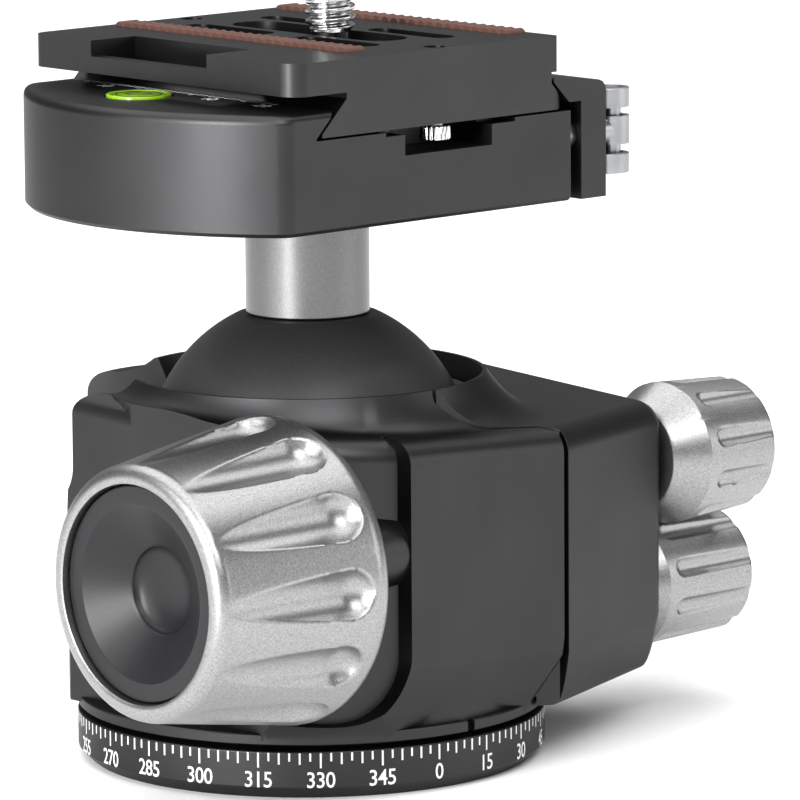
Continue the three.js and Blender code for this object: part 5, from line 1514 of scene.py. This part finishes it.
profile = bar_profile(1.2, pin_high.z - pin_low.z, 0.2, pin_low.z)
dress(turned("lever_pin_fine", profile, upright(pin_at.x, pin_at.y), 48), turned_steel, "lever_pin")
for node in ("jaw_pin_front", "jaw_pin_back"):
    (low, high), centre = box_mm(node), middle(node)
    place = along_x(low.x, centre.y, centre.z)
    guide = turned(node + "_fine", bar_profile(1.5, high.x - low.x, 0.3), place, 48)
    dress(guide, turned_steel, node)
print("lever from", round(lever_low.y, 1), "to", round(lever_high.y, 1))

# %% [markdown]
# ## The sliding plate
# The plate is milled from flat bar. Its foot has the same slope as the groove, and its deck is
# pierced by slots for the camera screw, for the fingers and for a strap. The section along Y
# gives the foot and the deck in one sweep. A prism with rounded corners then trims the ends,
# and a row of cutters makes the hollow below, the slots, and the rooms for strips and pins.

# %% Plate
plate_low, plate_high = box_mm("release_plate")
DECK = plate_high.z
PLATE_CORNER = 2.6
PLATE_LEFT, PLATE_RIGHT = -24.5, 22.0
FOOT_LEFT, FOOT_TOP_Z = -19.855, 83.55
NECK_LEFT, NECK_RIGHT = -15.755, 19.1
DECK_LEFT_Z, DECK_RIGHT_Z = 88.4, 87.9
UNDER = 80
ABOVE_DECK = DECK + 1


def rounded_plan(left, right, half_length, radius):
    return [point for x, y, start in (
        (right - radius, half_length - radius, 0), (left + radius, half_length - radius, 90),
        (left + radius, radius - half_length, 180), (right - radius, radius - half_length, 270),
    ) for point in arc(x, y, radius, start, start + 90)]


plate = bar_y("plate_slab", [
    (FOOT_LEFT, plate_low.z), (PLATE_RIGHT, plate_low.z), (PLATE_RIGHT, FOOT_TOP_Z),
    (NECK_RIGHT, 86.45), (NECK_RIGHT, DECK_RIGHT_Z), (NECK_RIGHT + 1, DECK_RIGHT_Z),
    (NECK_RIGHT + 1, DECK), (PLATE_LEFT, DECK), (PLATE_LEFT, DECK_LEFT_Z),
    (NECK_LEFT, DECK_LEFT_Z), (NECK_LEFT, 87.65), (FOOT_LEFT, FOOT_TOP_Z),
], plate_low.y - 1, plate_high.y + 1)
plan = rounded_plan(plate_low.x, plate_high.x, plate_high.y, PLATE_CORNER)
combine(plate, prism("plan", plan, UNDER, ABOVE_DECK), "INTERSECT")
SCREW_SLOT = (2.7, 3.42, -14.4, 15.2)
FINGER_SLOTS = [(x, 1.7, *ends) for x in (-3.7, 9.1) for ends in ((-17.08, -2.6), (2.6, 17.88))]
STRAP_FRONT, STRAP_BACK = -9.0, 13.0
STRIP_ROOM, STRIP_ROOM_DEPTH = 1.9, 1.2
PIN_HOLE = 1.4
for cutter in (
    block("under", (-4.6, -18.08, UNDER), (10.0, 18.88, 89.0)),
    *(slot_y(*slot, UNDER, ABOVE_DECK) for slot in (SCREW_SLOT, *FINGER_SLOTS)),
    block("strap", (-22.6, STRAP_FRONT, UNDER), (-17.2, STRAP_BACK, ABOVE_DECK)),
    block("strap_bar", (-26.0, STRAP_FRONT, DECK - 2.0), (-21.6, STRAP_BACK, ABOVE_DECK)),
):
    combine(plate, cutter)
for node in ("rubber_strip_left", "rubber_strip_right"):
    low, high = box_mm(node)
    combine(plate, slot_y(
        middle(node).x, STRIP_ROOM, low.y - FIT_GAP, high.y + FIT_GAP, DECK - STRIP_ROOM_DEPTH,
        ABOVE_DECK))
for node in ("stop_pin_front", "stop_pin_back"):
    combine(plate, bore_z(middle(node).x, middle(node).y, PIN_HOLE, UNDER, ABOVE_DECK))
finish_milled(plate, plate_anodised, "release_plate", 0.22)

# %% [markdown]
# ## Rubber strips
# Two soft strips keep the camera from turning on the deck. Their ribs are half-round and stand
# above the deck, so each strip shows a zig-zag edge from the side. One section along the strip
# carries all the ribs, and it is swept across the strip's width.

# %% Strips
RIBS = 26
RIB_POINTS = 8
RIB_FOOT, RIB_HEIGHT = 0.75, 0.74
STRIP_EDGE = 0.12


def make_strip(node):
    low, high = box_mm(node)
    pitch = (high.y - low.y) / RIBS
    rib_foot = high.z - RIB_FOOT
    section = [(low.y, low.z)]
    for i in range(RIBS):
        for k in range(RIB_POINTS):
            share = (k + 0.5) / RIB_POINTS
            lift = RIB_HEIGHT * math.sin(math.pi * share) ** 0.9
            section.append((low.y + pitch * (i + share), rib_foot + lift))
    section.append((high.y, low.z))
    centre, half = (low.x + high.x) / 2, (high.x - low.x) / 2
    flat = half - STRIP_EDGE
    rows = [[(centre + x, y, min(z, high.z - inset)) for y, z in section]
            for x, inset in ((-half, STRIP_EDGE), (-flat, 0), (flat, 0), (half, STRIP_EDGE))]
    return dress(loft(node + "_ribbed", rows), brown_rubber, node, angle=60)


for node in ("rubber_strip_left", "rubber_strip_right"):
    print(node, len(make_strip(node).data.polygons), "faces")

# %% [markdown]
# ## The camera screw
# The screw is plated and bright. Its thread is a true helix here: the radius of each point
# depends on how far its height runs ahead of its turn, so the crest climbs one pitch in each
# round. Both ends of the thread fade into the core, as a cut thread does.

# %% Camera screw
screw_low, screw_high = box_mm("camera_screw")
SCREW_X, SCREW_Y = middle("screw_clip").x, middle("screw_clip").y
PITCH = 1.27
CREST, CORE, TIP = 3.17, 2.55, 2.24
THREAD_START = screw_high.z - 5.78
THREAD_END = screw_high.z - 0.7
HEAD_RADIUS, HEAD_HEIGHT, HEAD_EDGE = 6.6, 3.4, 0.3
NECK_RADIUS = 2.4
SLOT_HALF_WIDTH, SLOT_DEPTH = 0.8, 1.4
THREAD_RISE = 0.05
SCREW_STEPS = 96


def thread_radius(height, turn):
    ahead = ((height - THREAD_START) / PITCH - turn / (2 * math.pi)) % 1
    slope = min(max(1.35 - abs(ahead - 0.5) * 2.9, 0), 1)
    ridge = slope * slope * (3 - 2 * slope)
    fade = min(max((height - THREAD_START) / 0.7, 0), max((screw_high.z - height) / 1.1, 0), 1)
    return CORE + (CREST - CORE) * ridge * fade


def ring_of(x, y, z, steps, radius_at):
    """A ring of points whose radius may change with the turn."""
    turns = [2 * math.pi * j / steps for j in range(steps)]
    return [(x + radius_at(t) * math.cos(t), y + radius_at(t) * math.sin(t), z) for t in turns]


def make_camera_screw():
    levels = []
    foot, edge = screw_low.z, HEAD_RADIUS - HEAD_EDGE

    def add_level(z, radius_at):
        levels.append(ring_of(SCREW_X, SCREW_Y, z, SCREW_STEPS, radius_at))

    for radius, z in (
        (edge, foot), (HEAD_RADIUS, foot + HEAD_EDGE),
        (HEAD_RADIUS, foot + HEAD_HEIGHT - HEAD_EDGE), (edge, foot + HEAD_HEIGHT),
        (NECK_RADIUS + 0.1, foot + HEAD_HEIGHT), (NECK_RADIUS, foot + HEAD_HEIGHT + 0.1),
        (NECK_RADIUS, THREAD_START - 0.2),
    ):
        add_level(z, lambda turn: radius)
    for z in np.arange(THREAD_START, screw_high.z - 0.3, THREAD_RISE):
        limit = CREST if z < THREAD_END else CREST + (TIP - CREST) * (z - THREAD_END) / 0.7
        add_level(float(z), lambda turn: min(thread_radius(z, turn), limit))
    for radius, z in ((TIP, screw_high.z - 0.12), (TIP - 0.25, screw_high.z)):
        add_level(z, lambda turn: radius)
    return loft("tripod_screw", levels)


screw = make_camera_screw()
combine(screw, block(
    "coin_slot", (SCREW_X - 8, SCREW_Y - SLOT_HALF_WIDTH, screw_low.z - 1),
    (SCREW_X + 8, SCREW_Y + SLOT_HALF_WIDTH, screw_low.z + SLOT_DEPTH)))
dress(screw, plated_steel, "camera_screw", angle=40)
print("camera screw", len(screw.data.polygons), "faces")

# %% [markdown]
# The two stop pins keep the plate from sliding out of an open clamp. Their heads are knurled
# with straight ribs, so that fingers can turn them.

# %% Stop pins
PIN_RIBS = 20
PIN_RIB_DEPTH = 0.09


def make_stop_pin(node):
    (low, high), centre = box_mm(node), middle(node)
    radius = (high.x - low.x) / 2
    profile = [
        (radius - 0.35, low.z, 0), (radius - 0.1, low.z + 0.12, 0), (radius, low.z + 0.25, 1),
        (radius, low.z + 1.6, 1), (radius - 0.1, low.z + 1.75, 0), (radius - 0.3, low.z + 1.9, 0),
        (1.15, low.z + 1.9, 0), (1.1, low.z + 1.95, 0), (1.1, high.z, 0),
    ]
    levels = [
        ring_of(centre.x, centre.y, z, PIN_RIBS * 8, lambda turn:
                reach - PIN_RIB_DEPTH * ribbed * (1 + math.cos(PIN_RIBS * turn)))
        for reach, z, ribbed in profile]
    dress(loft(node + "_knurled", levels), plated_steel, node, angle=30)


for node in ("stop_pin_front", "stop_pin_back"):
    make_stop_pin(node)
print("knurled pins with", PIN_RIBS, "ribs")

# %% [markdown]
# ## Pieces that keep their imported mesh
# Screws, washers, seats, springs and the bush sit inside or below. Their imported meshes are
# already round enough for what can be seen of them, so they only get their real finish.

# %% Finishes for the rest
REST = {
    turned_steel: ("socket_bush", "pan_spindle", "main_bolt", "friction_screw", "pan_lock_screw"),
    black_steel: (
        "spindle_screw_a", "spindle_screw_b", "spindle_screw_c", "housing_screw_low",
        "housing_screw_high", "clamp_bolt"),
    plated_steel: ("screw_clip", "jaw_spring_front", "jaw_spring_back"),
    machined_brass: ("friction_pad", "pan_lock_shoe"),
    pale_acetal: ("pan_washer", "thrust_washer"),
    dark_acetal: ("seat_shell", "seat_ring"),
}
for material, nodes in REST.items():
    for node in nodes:
        packed = bpy.data.objects[node]
        packed.data.materials.clear()
        packed.data.materials.append(material)
done = {node for nodes in REST.values() for node in nodes}
left = [n for n in frame["nodes"] if n in bpy.data.objects and n not in done]
print("packed meshes with a finish:", len(done), "others:", left)

# %% [markdown]
# ## Floor and light
# A plain pale floor and a few softboxes are all that a product photograph needs. The floor is
# matt white paper with a fine fibre, and it is wide enough to fill every view.

# %% Floor
FLOOR_SIZE = 8.0


def make_floor():
    half = FLOOR_SIZE / 2
    mesh = bpy.data.meshes.new("studio_floor")
    corners = [(-half, -half, 0), (half, -half, 0), (half, half, 0), (-half, half, 0)]
    mesh.from_pydata(corners, [], [(0, 1, 2, 3)])
    floor = bpy.data.objects.new("studio_floor", mesh)
    bpy.context.scene.collection.objects.link(floor)
    mesh.materials.append(toned(
        "matt_white_paper", ("#f2f2f2", "#f7f7f7"), 1.2, 0.02, Roughness=0.9, IOR=1.45))


make_floor()
print("floor", FLOOR_SIZE, "m wide")

# %% [markdown]
# A very large softbox overhead turns the floor white and makes the tops read as tops. A narrow
# one on the left draws the bright band down the stem and the knob, a wide one beside it softens
# that band, and two weak ones in front and on the right lift the flat faces. The world is a dim
# pale grey, so that the dark metal has something to mirror.

# %% Lights


def softbox(name, place, aim, width, height, power):
    light = bpy.data.lights.new(name, "AREA")
    light.shape = "RECTANGLE"
    light.size, light.size_y = width, height
    light.energy = power
    lamp = bpy.data.objects.new(name, light)
    lamp.location = place
    direction = Vector(aim) - Vector(place)
    lamp.rotation_euler = direction.to_track_quat("-Z", "Y").to_euler()
    bpy.context.scene.collection.objects.link(lamp)


HEAD = (0, 0, 0.05)
softbox("key_softbox", (-0.9, -0.2, 0.28), HEAD, 0.22, 0.52, 9)
softbox("left_softbox", (-0.9, 0.05, 0.35), HEAD, 0.8, 0.7, 5)
softbox("front_softbox", (-0.4, -0.72, 0.75), HEAD, 0.6, 0.5, 6)
softbox("top_softbox", (0.2, 0.5, 1.5), (0.2, 0.5, 0), 2.6, 2.6, 50)
softbox("right_softbox", (0.62, -0.69, 0.25), HEAD, 0.6, 0.4, 1.6)

world = bpy.data.worlds.new("pale_studio")
world.use_nodes = True
background = world.node_tree.nodes["Background"]
background.inputs["Color"].default_value = linear("#f4f5f7")
background.inputs["Strength"].default_value = 0.25
bpy.context.scene.world = world
bpy.context.scene.view_settings.view_transform = "Standard"

# %% [markdown]
# The last cell only loads the json module. The dressed model may not grow past the frame.

# %% The json module
import json
